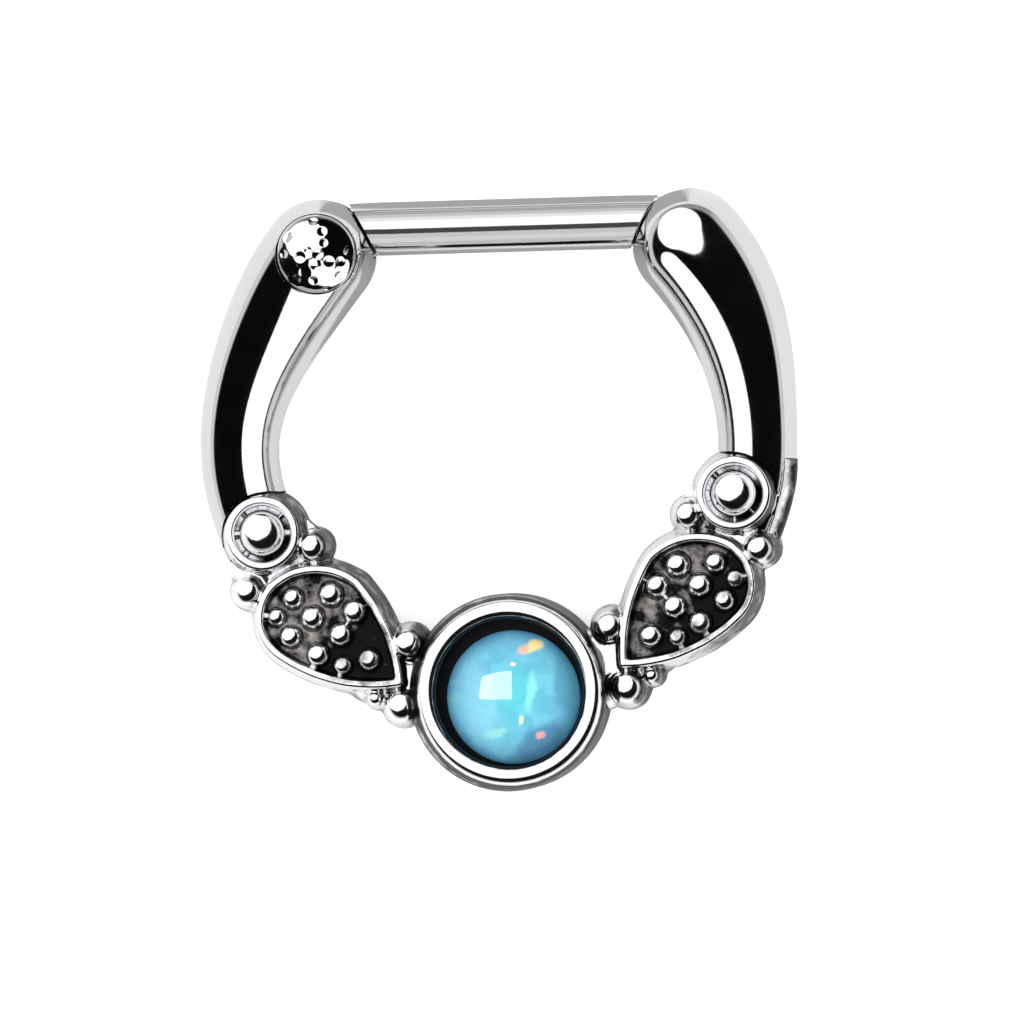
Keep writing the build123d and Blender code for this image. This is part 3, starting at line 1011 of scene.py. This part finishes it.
@dataclass(frozen=True)
class Bezel:
    """Drum that holds the stone: rounded rim, straight wall and a channel behind for the hoop."""

    ring: RingFrame
    line: CentreLine
    place: OrnamentPlace
    at: Point2 = (-0.14, 0.0)
    radius: float = 2.22
    wall: float = 1.90
    swell: Point2 = (2.18, 2.40)
    top: float = 2.95
    neck: float = 2.08
    rim_w: float = 0.42
    rim_shift: float = 0.09
    recess_r: float = 1.67
    recess_floor: float = 2.05
    back_round: float = 0.22
    channel_half: float = 0.93
    channel_top: float = 1.325
    # Way towards the side of the wall whose ridge keeps more black: painted shade, away from the lights.
    shaded_side: Point2 = (0.77, -0.64)
    deep_black: float = 0.92
    back_black: float = 0.35
    wall_black: float = 0.85
    ridge_cleared: float = 0.40
    segments: int = 224

    def matrix(self) -> Matrix:
        """Carries the bezel's own frame onto the ring."""
        return self.place.matrix() @ Matrix.Translation((*self.at, 0))

    def drum(self) -> bpy.types.Mesh:
        """The turned body of the bezel."""
        rim_r = self.rim_w / 2
        rim_z, rim_mid = self.top - rim_r, self.neck - rim_r
        corner, back = self.radius - self.back_round, self.back_round
        reach = back * (1 - math.sqrt(0.5))
        profile: list[Point2] = [(0.004, 0.0), (corner * 0.6, 0.0), (corner, 0.0)]
        profile += arc_through((corner, 0), (self.radius - reach, reach), (self.radius, back), 10)
        profile += [(self.radius, z) for z in np.linspace(back, self.wall, 10)[1:]]
        profile += arc_through((self.radius, self.wall), self.swell, (self.neck, rim_z), 22)
        profile += arc_through((self.neck, rim_z), (rim_mid, self.top), (rim_mid - rim_r, rim_z), 30)
        slope = np.linspace(0, 1, 12)[1:]
        inner = rim_mid - rim_r
        profile += [(inner + (self.recess_r - inner) * s, rim_z + (self.recess_floor - rim_z) * s)
                    for s in slope]
        profile += [(self.recess_r * 0.5, self.recess_floor), (0.004, self.recess_floor)]
        rings = turned(profile, self.segments)
        rings[..., 0] += self.lean(rings[..., 2])
        return skin(rings)

    def lean(self, height: np.ndarray) -> np.ndarray:
        """How far the rim stands off the drum's own centre at each height, as filed by hand."""
        return self.rim_shift * smooth_step(2.20, 2.60, height)

    def channel(self) -> bpy.types.Mesh:
        """Tool for the channel that the hoop lies in."""
        outline = np.array([(-self.channel_half, -3.0), (self.channel_half, -3.0), (self.channel_half, 0.0),
                            (-self.channel_half, 0.0)])
        rings = self.line.sweep(outline, np.linspace(0.36, 0.66, 40), self.channel_top)
        return skin(rings)

    def patina_and_shade(self, places: np.ndarray) -> np.ndarray:
        """How much of the black is left at each point, from 0 on the rim to nearly 1 inside the drum, with
        painted shade on the lower right of the wall's ridge.

        Args:
            places: points in the drawing frame.

        Returns:
            One number for each point.
        """
        height = places[:, 2]
        offset = places[:, :2] - np.array(self.matrix().translation[:2])
        offset[:, 0] -= self.lean(height)
        reach = np.hypot(*offset.T)
        deep = self.deep_black * smooth_step(2.94, 2.86, height) * smooth_step(1.77, 1.71, reach)
        behind = self.back_black * smooth_step(0.30, 0.0, height) * smooth_step(2.2, 1.9, reach)
        # Painted shade: the ridge is cleared less on the lower right, away from the lights.
        shaded = smooth_step(-0.5, 0.9, offset @ np.array(self.shaded_side) / self.radius)
        ridge = smooth_step(0.16, 0.0, np.abs(height - self.swell[1])) * (1 - 0.7 * shaded)
        wall = smooth_step(1.96, 2.06, reach) * smooth_step(2.86, 2.66, height) * (
            self.wall_black - self.ridge_cleared * ridge)
        return np.maximum.reduce([deep, behind, wall])

    def build(self, finish: bpy.types.Material) -> bpy.types.Object:
        """Make the bezel and dress it: bright on its rim, black inside, half cleared on its wall, with
        painted shade on one side of its ridge.
        """
        mesh = cut(moved(self.drum(), self.matrix()), self.channel())
        attribute = mesh.attributes.new("patina_and_shade", "FLOAT", "POINT")
        attribute.data.foreach_set("value", self.patina_and_shade(corners_of(mesh)).astype(np.float32))
        return self.ring.piece("bezel", mesh, Body.RING, Slot.CASTING, finish, "ornament")


@dataclass(frozen=True)
class Wing:
    """One wing of the casting: saddle over the rod, leaf-shaped dish of granules, cup and beads.

    The shapes are melted together at a fine grain and rubbed smooth, as wax is before it is cast, so that
    every crease has the soft fillet of a casting.
    """

    ring: RingFrame
    line: CentreLine
    place: OrnamentPlace
    side: Side
    base_z: float = 1.325
    draft: float = 9.0
    band_half: float = 0.93
    band_side: float = 0.20
    band_top: float = 2.14
    mid_z: float = 1.285
    bezel_at: Point2 = (-0.14, 0.0)
    meets_bezel: float = 1.88
    end_share: float = 0.0
    cheek_share: float = 0.0
    cheek_from: float = 0.60
    cheek_proud: float = 0.055
    leaf_tip: Point2 = (2.52, 0.42)
    leaf_arcs: tuple[tuple[Point2, Point2], ...] = (
        ((2.72, 1.65), (3.30, 2.75)), ((4.20, 3.13), (5.08, 2.92)), ((5.56, 2.05), (5.12, 1.20)),
        ((3.95, 0.58), (2.52, 0.42)))
    leaf_foot: float = 0.26
    leaf_rim: float = 0.10
    rim_top: float = 2.50
    dish_floor: float = 2.12
    cup_at: Point2 = (5.32, 4.02)
    cup_r: float = 0.83
    cup_hollow_r: float = 0.63
    cup_top: float = 2.55
    cup_floor: float = 2.20
    cup_bead: tuple[float, float] = (0.56, 2.30)
    web_edge: float = 0.04
    web_top: float = 1.80
    joint_gap: float = 0.035
    beads: tuple[tuple[float, float, float, float], ...] = (
        (4.24, 3.64, 0.33, 2.26), (5.78, 2.75, 0.34, 2.26), (2.27, 1.29, 0.35, 2.26),
        (2.55, -0.11, 0.38, 2.22), (3.12, 0.13, 0.18, 2.16))
    granule_z: float = 2.26
    granules: tuple[tuple[float, float, float], ...] = (
        (3.92, 2.54, 0.27), (4.77, 2.52, 0.23), (3.42, 2.10, 0.26), (4.37, 2.04, 0.26), (5.18, 2.12, 0.20),
        (3.77, 1.61, 0.26), (4.90, 1.66, 0.24), (3.18, 1.00, 0.25), (4.32, 1.20, 0.25), (3.78, 0.92, 0.20))
    swell: float = 1.08
    grain: float = 0.031
    rubs: int = 4
    wobble: float = 0.012
    # Painted shade: upright walls that face the first way, and the dish and cup towards the second way, are
    # darkened as the sides away from the lights.
    shaded_side: tuple[float, float, float] = (1.0, 0.15, 0.0)
    shaded_side_in_plane: Point2 = (0.77, -0.64)
    dish_black: float = 0.62
    dish_shade: float = 0.34
    cup_black: float = 0.16
    cup_shade: float = 0.60
    # Painted shade: how dark the outer walls grow towards their base, for the shaded floor that they mirror.
    low_wall_shade: float = 0.40
    # Painted shade: how dark the upright walls that face away from the lights are.
    flank_shade: float = 0.74

    def outline(self) -> tuple[np.ndarray, np.ndarray]:
        """The leaf's outline and the outward direction at each of its points.

        Returns:
            Points and unit normals as rows of x, y. The tip is there many times, its normals fanned out.
        """
        points: list[Point2] = [self.leaf_tip]
        for through, end in self.leaf_arcs:
            points += arc_through(points[-1], through, end, 40)
        ring = np.array(points[:-1])
        ahead = np.roll(ring, -1, axis=0) - ring
        ahead /= np.linalg.norm(ahead, axis=1)[:, None]
        side = np.stack([-ahead[:, 1], ahead[:, 0]], axis=-1)
        before = np.roll(side, 1, axis=0)
        normals = before + side
        normals /= np.linalg.norm(normals, axis=1)[:, None]
        start, stop = before[0], side[0]
        fan_points, fan_normals = [], []
        for share in np.linspace(0, 1, 14):
            normal = start * (1 - share) + stop * share
            fan_points.append(ring[0])
            fan_normals.append(normal / np.linalg.norm(normal))
        return np.vstack([fan_points, ring[1:]]), np.vstack([fan_normals, normals[1:]])

    def leaf_middle(self) -> np.ndarray:
        """Middle of the leaf in the drawing frame."""
        x, y = self.outline()[0].mean(axis=0)
        return np.array((self.place.matrix() @ Vector((x * self.side.value, y, 0))).xy)

    def leaf(self) -> bpy.types.Mesh:
        """Leaf with sloping wall, rounded rim and sunken dish."""
        points, normals = self.outline()
        slope = math.tan(math.radians(self.draft))
        crest = self.leaf_foot - (self.rim_top - self.base_z) * slope
        middle, half = (crest - self.leaf_rim) / 2, (crest + self.leaf_rim) / 2
        steps = [(self.leaf_foot, self.base_z), (crest + 0.05 * slope, self.rim_top - 0.06)]
        steps += [(middle + half * math.cos(a), self.rim_top - 0.06 + 0.06 * math.sin(a))
                  for a in np.linspace(0.2, math.pi - 0.2, 7)]
        steps += [(-self.leaf_rim, self.rim_top - 0.07), (-self.leaf_rim - 0.03, self.dish_floor)]
        rings = []
        for grow, height in steps:
            flat = points + normals * grow
            rings.append(np.column_stack([flat, np.full(len(flat), height)]))
        return skin(np.array(rings))

    def pedestal(self, x: float, y: float, top_r: float, top_z: float) -> bpy.types.Mesh:
        """Round foot with the casting's draft, as wide as top_r at its top."""
        base_r = top_r + (top_z - self.base_z) * math.tan(math.radians(self.draft))
        return moved(skin(turned([(base_r, self.base_z), (top_r, top_z)], 72)), Matrix.Translation((x, y, 0)))

    def cup(self) -> bpy.types.Mesh:
        """Cup with a rounded lip."""
        base_r = self.cup_r + (self.cup_top - self.base_z) * math.tan(math.radians(self.draft))
        lip = (self.cup_r + self.cup_hollow_r) / 2
        profile = [(0.01, self.base_z), (base_r, self.base_z), (self.cup_r + 0.01, self.cup_top - 0.07)]
        profile += arc_through(profile[-1], (lip, self.cup_top), (self.cup_hollow_r, self.cup_top - 0.07), 8)
        profile += [(self.cup_hollow_r, self.cup_floor), (0.01, self.cup_floor)]
        return moved(skin(turned(profile, 96)), Matrix.Translation((*self.cup_at, 0)))

    def web(self, bead: tuple[float, float, float, float], grow: float = 0.0) -> bpy.types.Mesh:
        """Low web that joins the foot of the cup to a bead beside it."""
        x, y, r, _ = bead
        edge = self.web_edge + grow
        rims = circle(*self.cup_at, self.cup_r + edge) + circle(x, y, r + edge)
        return plate(rims, self.base_z - grow, self.web_top + grow)

    def wells(self) -> list[bpy.types.Mesh]:
        """Tools for the rod: the room of the cup and of the feet beside it, a hair wider than they are."""
        gap, slope = self.joint_gap, math.tan(math.radians(self.draft))
        tools = []
        for x, y, r, z in ((*self.cup_at, self.cup_r, self.cup_top), *self.beads[:2]):
            low = self.base_z - gap
            foot = turned([(r + (z - low) * slope + gap, low), (r + gap, z)], 96)
            tools.append(moved(skin(foot), Matrix.Translation((x, y, 0))))
        tools += [self.web(bead, gap) for bead in self.beads[:2]]
        mirror = Matrix.Diagonal((self.side.value, 1, 1, 1))
        return [moved(tool, self.place.matrix() @ mirror) for tool in tools]

    def saddle(self) -> bpy.types.Mesh:
        """The band that sits over the rod, from the bezel to the cup."""
        crown = self.band_top - self.mid_z
        top = arc_through((self.band_half, self.band_side), (0, crown), (-self.band_half, self.band_side), 40)
        foot = self.base_z - self.mid_z
        outline = np.array([(-self.band_half, foot), (0.0, foot), (self.band_half, foot),
                            (self.band_half, self.band_side), *top])
        centre = np.array((self.place.matrix() @ Matrix.Translation((*self.bezel_at, 0))).translation[:2])
        shares = np.linspace(0.30, 0.70, 801)
        reach = np.hypot(*(self.line.at(shares) - centre).T)
        right = self.side is Side.RIGHT
        near = shares[(reach > self.meets_bezel) & ((shares > 0.5) == right)]
        inner = near.min() if right else near.max()
        shares = np.linspace(*sorted((inner, self.end_share)), 120)
        return skin(self.line.sweep(outline, shares, self.mid_z))

    def cheek(self) -> bpy.types.Mesh:
        """Thin cheek on the outer flank of the rod, which carries the saddle on past the cup."""
        foot, rise, out = self.base_z - self.mid_z, self.cheek_proud, self.band_half
        crown = self.band_top - self.mid_z
        arc = arc_through((self.band_half, self.band_side), (0, crown), (-self.band_half, self.band_side), 40)
        over = [(u, v + rise) for u, v in arc if u > self.cheek_from]
        outline = np.array([(self.cheek_from, foot), (out, foot), (out, self.band_side), *over])
        ends = sorted((self.end_share, self.cheek_share))
        return skin(self.line.sweep(outline, np.linspace(*ends, 60), self.mid_z))

    def wax(self) -> bpy.types.Mesh:
        """Every shape of the wing in one mesh, still as separate shells, in the drawing frame."""
        shells = [self.leaf(), self.cup(), ball(*self.cup_at, self.cup_bead[1], self.cup_bead[0])]
        shells += [self.web(bead) for bead in self.beads[:2]]
        for x, y, r, z in self.beads:
            shells += [self.pedestal(x, y, r, z), ball(x, y, z, r)]
        shells += [ball(x, y, self.granule_z, r * self.swell) for x, y, r in self.granules]
        mirror = Matrix.Diagonal((self.side.value, 1, 1, 1))
        over_rod = [self.saddle()] + ([self.cheek()] if self.cheek_share else [])
        return joined([moved(joined(shells), self.place.matrix() @ mirror), *over_rod])

    def patina_and_shade(self, places: np.ndarray, normals: np.ndarray) -> np.ndarray:
        """How much of the black is left at each point, from 0 on the high places to 1 in the deepest creases,
        with painted shade added on the sides away from the lights and low on the outer walls.

        Args:
            places: points in the drawing frame.
            normals: unit vectors that point out of the casting there.

        Returns:
            One number for each point.
        """
        own = np.array(self.place.matrix().inverted())
        local = places @ own[:3, :3].T + own[:3, 3]
        local[:, 0] *= self.side.value
        height = local[:, 2]
        points, _ = self.outline()
        inside = np.zeros(len(local), bool)
        for (ax, ay), (bx, by) in zip(points, np.roll(points, -1, axis=0)):
            if ay != by:
                crosses = (ay > local[:, 1]) != (by > local[:, 1])
                inside ^= crosses & (local[:, 0] < (bx - ax) * (local[:, 1] - ay) / (by - ay) + ax)
        # Painted shade: the dish, granules and all, darkens towards its lower right.
        toward_shade = (places[:, :2] - self.leaf_middle()) @ np.array(self.shaded_side_in_plane)
        dish = inside * (self.dish_black * smooth_step(2.30, 2.15, height)
                         + self.dish_shade * smooth_step(-0.3, 1.0, toward_shade))
        reach = np.hypot(local[:, 0] - self.cup_at[0], local[:, 1] - self.cup_at[1])
        cup = self.place.matrix() @ Vector((self.cup_at[0] * self.side.value, self.cup_at[1], 0))
        # Painted shade: the cup's hollow darkens towards its lower right.
        toward_shade = (places[:, :2] - np.array(cup.xy)) @ np.array(self.shaded_side_in_plane)
        within = smooth_step(self.cup_hollow_r + 0.05, self.cup_hollow_r - 0.02, reach)
        low = smooth_step(self.cup_top - 0.12, self.cup_floor + 0.06, height)
        hollow = (self.cup_black + self.cup_shade * smooth_step(0.05, 0.50, toward_shade)) * within * low
        outer = ~inside & (reach > self.cup_r - 0.05)
        # Painted shade: the outer walls darken towards their base, for the shaded floor that they mirror.
        crease = self.low_wall_shade * smooth_step(self.band_top, self.base_z + 0.1, height)
        upright = smooth_step(0.80, 0.45, np.abs(normals[:, 2]))
        # Painted shade: upright walls that face away from the lights are darkened.
        painted_flank_shade = self.flank_shade * upright * smooth_step(0.0, 0.6, normals @ np.array(self.shaded_side))
        return np.maximum.reduce([dish, hollow, outer * crease, outer * painted_flank_shade])

    def build(self, finish: bpy.types.Material) -> bpy.types.Object:
        """Melt the shapes together, rub them smooth and dress the wing."""
        mesh = worked(self.wax(),
                      ("REMESH", {"mode": "VOXEL", "voxel_size": self.grain, "adaptivity": 0.0}),
                      ("SMOOTH", {"factor": 0.5, "iterations": self.rubs}))
        places = corners_of(mesh)
        attribute = mesh.attributes.new("patina_and_shade", "FLOAT", "POINT")
        normals = np.empty(places.size)
        mesh.vertex_normals.foreach_get("vector", normals)
        patina_and_shade = self.patina_and_shade(places, normals.reshape(-1, 3))
        attribute.data.foreach_set("value", patina_and_shade.astype(np.float32))
        drift = np.array([noise.noise_vector(Vector(p) * 1.9) for p in places])
        set_corners(mesh, places + drift * self.wobble)
        name = f"casting_{self.side.name.lower()}"
        return self.ring.piece(name, mesh, Body.RING, Slot.CASTING, finish, "ornament", crease=180)


@dataclass(frozen=True)
class Cabochon:
    """Round opal with a short straight edge and a low dome."""

    ring: RingFrame
    bezel: Bezel
    at: Point2 = (0.13, -0.11)
    radius: float = 1.50
    girdle: float = 0.15
    dome: float = 0.78
    seat_z: float = 2.07
    edge: float = 0.04

    def centre(self) -> Vector:
        """The stone's centre in the drawing frame, at its seat."""
        return self.bezel.matrix() @ Vector((*self.at, self.seat_z))

    def build(self, finish: bpy.types.Material) -> bpy.types.Object:
        """Make the stone and dress it."""
        dome_r = (self.radius ** 2 + self.dome ** 2) / (2 * self.dome)
        low = self.girdle + self.dome - dome_r
        inner = self.radius - self.edge
        rim_z = low + math.sqrt(dome_r ** 2 - inner ** 2)
        profile: list[Point2] = [(0.004, 0.0), (0.75, 0.0), (self.radius - 0.03, 0.0), (self.radius, 0.03),
                                 (self.radius, self.girdle - self.edge / 2)]
        profile += arc_through(profile[-1], (self.radius - 0.012, self.girdle + 0.006), (inner, rim_z), 5)
        profile += [(r, low + math.sqrt(dome_r ** 2 - r * r)) for r in np.linspace(inner, 0.004, 70)[1:]]
        mesh = moved(skin(turned(profile, 160)), Matrix.Translation(self.centre()))
        return self.ring.piece("cabochon", mesh, Body.RING, Slot.STONE, finish, "opal")


# The studio


class Shape(Enum):
    """Outline of a soft light."""

    RECTANGLE = "RECTANGLE"
    OVAL = "ELLIPSE"


@dataclass(frozen=True)
class SoftLight:
    """A soft light, placed from the middle between the balls, that lights all pieces or only some of them."""

    name: str
    at: tuple[float, float, float]
    size: Point2
    radiance: float
    shape: Shape = Shape.RECTANGLE
    looks_at: tuple[float, float, float] | None = None
    only_on: tuple[str, ...] = ()
    mirrored_only: bool = True
    colour: str = "#ffffff"

    @classmethod
    def over(cls, name: str, x: Point2, y: Point2, height: float, radiance: float,
             **rest: Any) -> "SoftLight":
        """A light that hangs level over this stretch of the ring.

        Args:
            name: the light's name.
            x: its left and right edge.
            y: its lower and upper edge, in the view from above.
            height: its height over the floor.
            radiance: how bright its face is.
            rest: any other fields.

        Returns:
            The light.
        """
        return cls(name, (sum(x) / 2, sum(y) / 2, height), (x[1] - x[0], y[1] - y[0]), radiance, **rest)

    @classmethod
    def facing(cls, name: str, aim: tuple[float, float, float], azimuth: float, elevation: float,
               reach: float, radius: float, radiance: float, **rest: Any) -> "SoftLight":
        """A round light that looks at a point.

        Args:
            name: the light's name.
            aim: the point that it looks at.
            azimuth: direction from there to the light, in degrees from +X towards +Y.
            elevation: how high it stands over that point, in degrees.
            reach: its distance.
            radius: its radius.
            radiance: how bright its face is.
            rest: any other fields.

        Returns:
            The light.
        """
        turn, rise = math.radians(azimuth), math.radians(elevation)
        away = Vector((math.cos(rise) * math.cos(turn), math.cos(rise) * math.sin(turn), math.sin(rise)))
        return cls(name, tuple(Vector(aim) + away * reach), (2 * radius, 2 * radius), radiance, Shape.OVAL,
                   aim, **rest)

    def build(self, ring: RingFrame, pieces: dict[str, bpy.types.Object]) -> bpy.types.Object:
        """Hang the light.

        Args:
            ring: the frame that places it.
            pieces: the ring's pieces by name.

        Returns:
            The light's object. The camera doesn't see it.
        """
        lamp = bpy.data.lights.new(self.name, "AREA")
        width, depth = self.size
        lamp.shape = self.shape.value
        lamp.size, lamp.size_y = width * MM, depth * MM
        area = width * depth * MM * MM * (math.pi / 4 if self.shape is Shape.OVAL else 1.0)
        lamp.energy = self.radiance * math.pi * area
        lamp.color = linear(self.colour)[:3]
        light = bpy.data.objects.new(self.name, lamp)
        light.location = (Vector(self.at) + ring.middle) * MM
        if self.looks_at is not None:
            way = Vector(self.looks_at) - Vector(self.at)
            light.rotation_euler = way.to_track_quat("-Z", "Y").to_euler()
        bpy.context.scene.collection.objects.link(light)
        light.visible_camera = False
        light.visible_diffuse = not self.mirrored_only
        light.visible_glossy = self.mirrored_only
        if self.only_on:
            group = bpy.data.collections.new(self.name)
            for name in self.only_on:
                group.objects.link(pieces[name])
            light.light_linking.receiver_collection = group
        return light


@dataclass(frozen=True)
class Studio:
    """Pale floor, soft lights and the camera, all laid round the ring."""

    ring: RingFrame
    pieces: dict[str, bpy.types.Object]
    mid_z: float = 1.285
    yaw: float = 4.5
    roll: float = 1.54
    frame_mm: float = 23.04
    aim: tuple[float, float] = (0.010, -5.898)
    camera_mm: float = 320.0
    sensor_mm: float = 36.0
    rod: tuple[str, ...] = ("hoop_rod", "peened_pin")
    bar: tuple[str, ...] = ("straight_bar",)
    casting: tuple[str, ...] = ("bezel", "casting_left", "casting_right")
    stone: tuple[str, ...] = ("cabochon",)
    floor_half: float = 0.6
    # Middle of the floor's painted shade, which only mirror rays see.
    painted_shade_at: Point2 = (0.0, 6.6)
    silks: tuple[tuple[float, float, float], ...] = (
        (-32.0, -12.0, 0.70), (-12.0, -6.5, 0.90), (-6.5, -3.0, 1.10), (-3.0, -1.1, 0.95), (-1.1, 0.4, 0.09),
        (0.4, 2.9, 1.90), (2.9, 4.6, 1.35), (4.6, 7.5, 0.95), (7.5, 13.0, 0.68), (13.0, 40.0, 0.50))

    def lights(self) -> list[SoftLight]:
        """Every light of the studio, as a photographer would flag them for the three finishes."""
        middle = (0.0, -6.0, self.mid_z)
        latch = (self.ring.ball_span / 2, 0.0, self.mid_z)
        hinge = (-self.ring.ball_span / 2, 0.0, self.mid_z)
        return [
            SoftLight("left_card", (-3.8, -3.4, 5.1), (5.5, 3.3), 1.9, looks_at=(-5.4, -3.4, 2.0),
                      only_on=self.rod),
            SoftLight.over("right_card", (-2.7, 4.9), (-10.1, -1.1), 5.3, 1.9, shape=Shape.OVAL,
                           only_on=self.rod),
            SoftLight.facing("latch_spot", latch, 116.0, 57.0, 3.0, 2.3, 1.9, only_on=self.rod),
            SoftLight.facing("hinge_spot", hinge, 128.0, 57.0, 3.0, 1.9, 1.9, only_on=("peened_pin",)),
            *(SoftLight.over(f"silk_{i}", (-6.0, 6.0), (low, high), 5.3, level, only_on=self.bar)
              for i, (low, high, level) in enumerate(self.silks)),
            SoftLight.facing("softbox", middle, 122.0, 50.0, 150.0, 280.0, 1.45, only_on=self.casting),
            SoftLight.over("window", (-3.65, -0.09), (-10.2, -7.65), 5.25, 15.0, only_on=self.stone,
                           colour="#ffdcd6"),
            SoftLight.over("ceiling", (-260.0, 260.0), (-260.0, 260.0), 300.0, 1.0, mirrored_only=False),
        ]

    def build(self) -> None:
        """Set up everything round the ring."""
        self.floor()
        self.sky()
        for light in self.lights():
            light.build(self.ring, self.pieces)
        self.camera()
        bpy.context.scene.view_settings.view_transform = "Standard"

    def floor(self) -> None:
        """Lay the matt white floor, with its grey patch of painted shade that only mirror rays see."""
        half = self.floor_half
        mesh = bpy.data.meshes.new("floor")
        mesh.from_pydata([(-half, -half, 0), (half, -half, 0), (half, half, 0), (-half, half, 0)], [],
                         [(0, 1, 2, 3)])
        painted_shade = self.ring.middle + Vector((*self.painted_shade_at, 0.0))
        mesh.materials.append(MattCard(painted_shade_at=(painted_shade.x, painted_shade.y)).build())
        floor = bpy.data.objects.new("floor", mesh)
        bpy.context.scene.collection.objects.link(floor)

    def sky(self) -> None:
        """A pale tent low down, with its dark ceiling showing only in what mirrors it."""
        world = bpy.data.worlds.new("tent")
        bpy.context.scene.world = world
        world.use_nodes = True
        tree = world.node_tree
        background = tree.nodes["Background"]
        place = add_node(tree, "ShaderNodeTexCoord")
        axes = add_node(tree, "ShaderNodeSeparateXYZ", None, {"Vector": place.outputs["Generated"]})
        depth = add_node(tree, "ShaderNodeMath", {"operation": "ABSOLUTE"}, {0: axes.outputs["Y"]})
        sides = ramp(add_node(tree, "ShaderNodeValToRGB", None, {"Fac": depth.outputs["Value"]}),
                     [(0.55, "#ffffff"), (0.90, "#b0b0b0")])
        tent = ramp(add_node(tree, "ShaderNodeValToRGB", None, {"Fac": axes.outputs["Z"]}),
                    [(0.0, "#f2f2f2"), (0.08, "#ffffff"), (0.17, "#ffffff"), (0.24, "#0a0a0a"),
                     (1.0, "#060606")])
        mirrored = add_node(tree, "ShaderNodeMix", {"data_type": "RGBA", "blend_type": "MULTIPLY", 0: 1.0},
                            {6: tent.outputs["Color"], 7: sides.outputs["Color"]})
        path = add_node(tree, "ShaderNodeLightPath")
        colour = add_node(tree, "ShaderNodeMix", {"data_type": "RGBA", 6: linear("#ffffff")},
                          {0: path.outputs["Is Glossy Ray"], 7: mirrored.outputs[2]})
        tree.links.new(colour.outputs[2], background.inputs["Color"])
        background.inputs["Strength"].default_value = 1.0

    def camera(self) -> None:
        """Put the camera over the ring at the photograph's angle."""
        yaw, roll = math.radians(self.yaw), math.radians(self.roll)
        side, up = Vector((math.cos(yaw), 0, -math.sin(yaw))), Vector((0, 1, 0))
        back = Vector((math.sin(yaw), 0, math.cos(yaw)))
        across = math.cos(roll) * side - math.sin(roll) * up
        upward = math.sin(roll) * side + math.cos(roll) * up
        target = Vector((self.aim[0], self.aim[1], self.mid_z)) + self.ring.middle
        lens = bpy.data.cameras.new("camera")
        lens.sensor_width = self.sensor_mm
        lens.lens = self.sensor_mm * self.camera_mm / self.frame_mm
        lens.clip_start, lens.clip_end = 0.005, 5.0
        camera = bpy.data.objects.new("camera", lens)
        turn = Matrix((across, upward, back)).transposed().to_4x4()
        camera.matrix_world = Matrix.Translation((target + back * self.camera_mm) * MM) @ turn
        bpy.context.scene.collection.objects.link(camera)
        bpy.context.scene.camera = camera


def main() -> None:
    """Build the ring piece by piece, then the studio round it."""
    logging.basicConfig(level=logging.INFO, format="%(name)s: %(message)s")
    noise.seed_set(NOISE_SEED)
    ring = RingFrame.from_pin()
    line = CentreLine()
    place = OrnamentPlace()
    steel = PolishedSteel().build()
    casting = AntiquedCasting().build()

    gap = SEAT_GAP / line.length
    wings = [Wing(ring, line, place, Side.LEFT, end_share=Hoop.span[0] + gap),
             Wing(ring, line, place, Side.RIGHT, end_share=Hoop.span[1] - gap, cheek_share=CHEEK_SHARE)]
    hoop = Hoop(ring, line, wells=tuple(tool for wing in wings for tool in wing.wells()))
    bezel = Bezel(ring, line, place)
    made = [hoop.build(steel), ClickerBar(ring).build(steel), HingePin(ring).build(steel),
            bezel.build(casting)]
    made += [wing.build(casting) for wing in wings]

    stone = Cabochon(ring, bezel)
    middle = (stone.centre() + ring.middle) * MM
    made.append(stone.build(OpalStone(centre=(middle.x, middle.y)).build()))

    Studio(ring, {piece.name: piece for piece in made}).build()
    LOG.info("all pieces are in place")


if __name__ == "__main__":
    main()
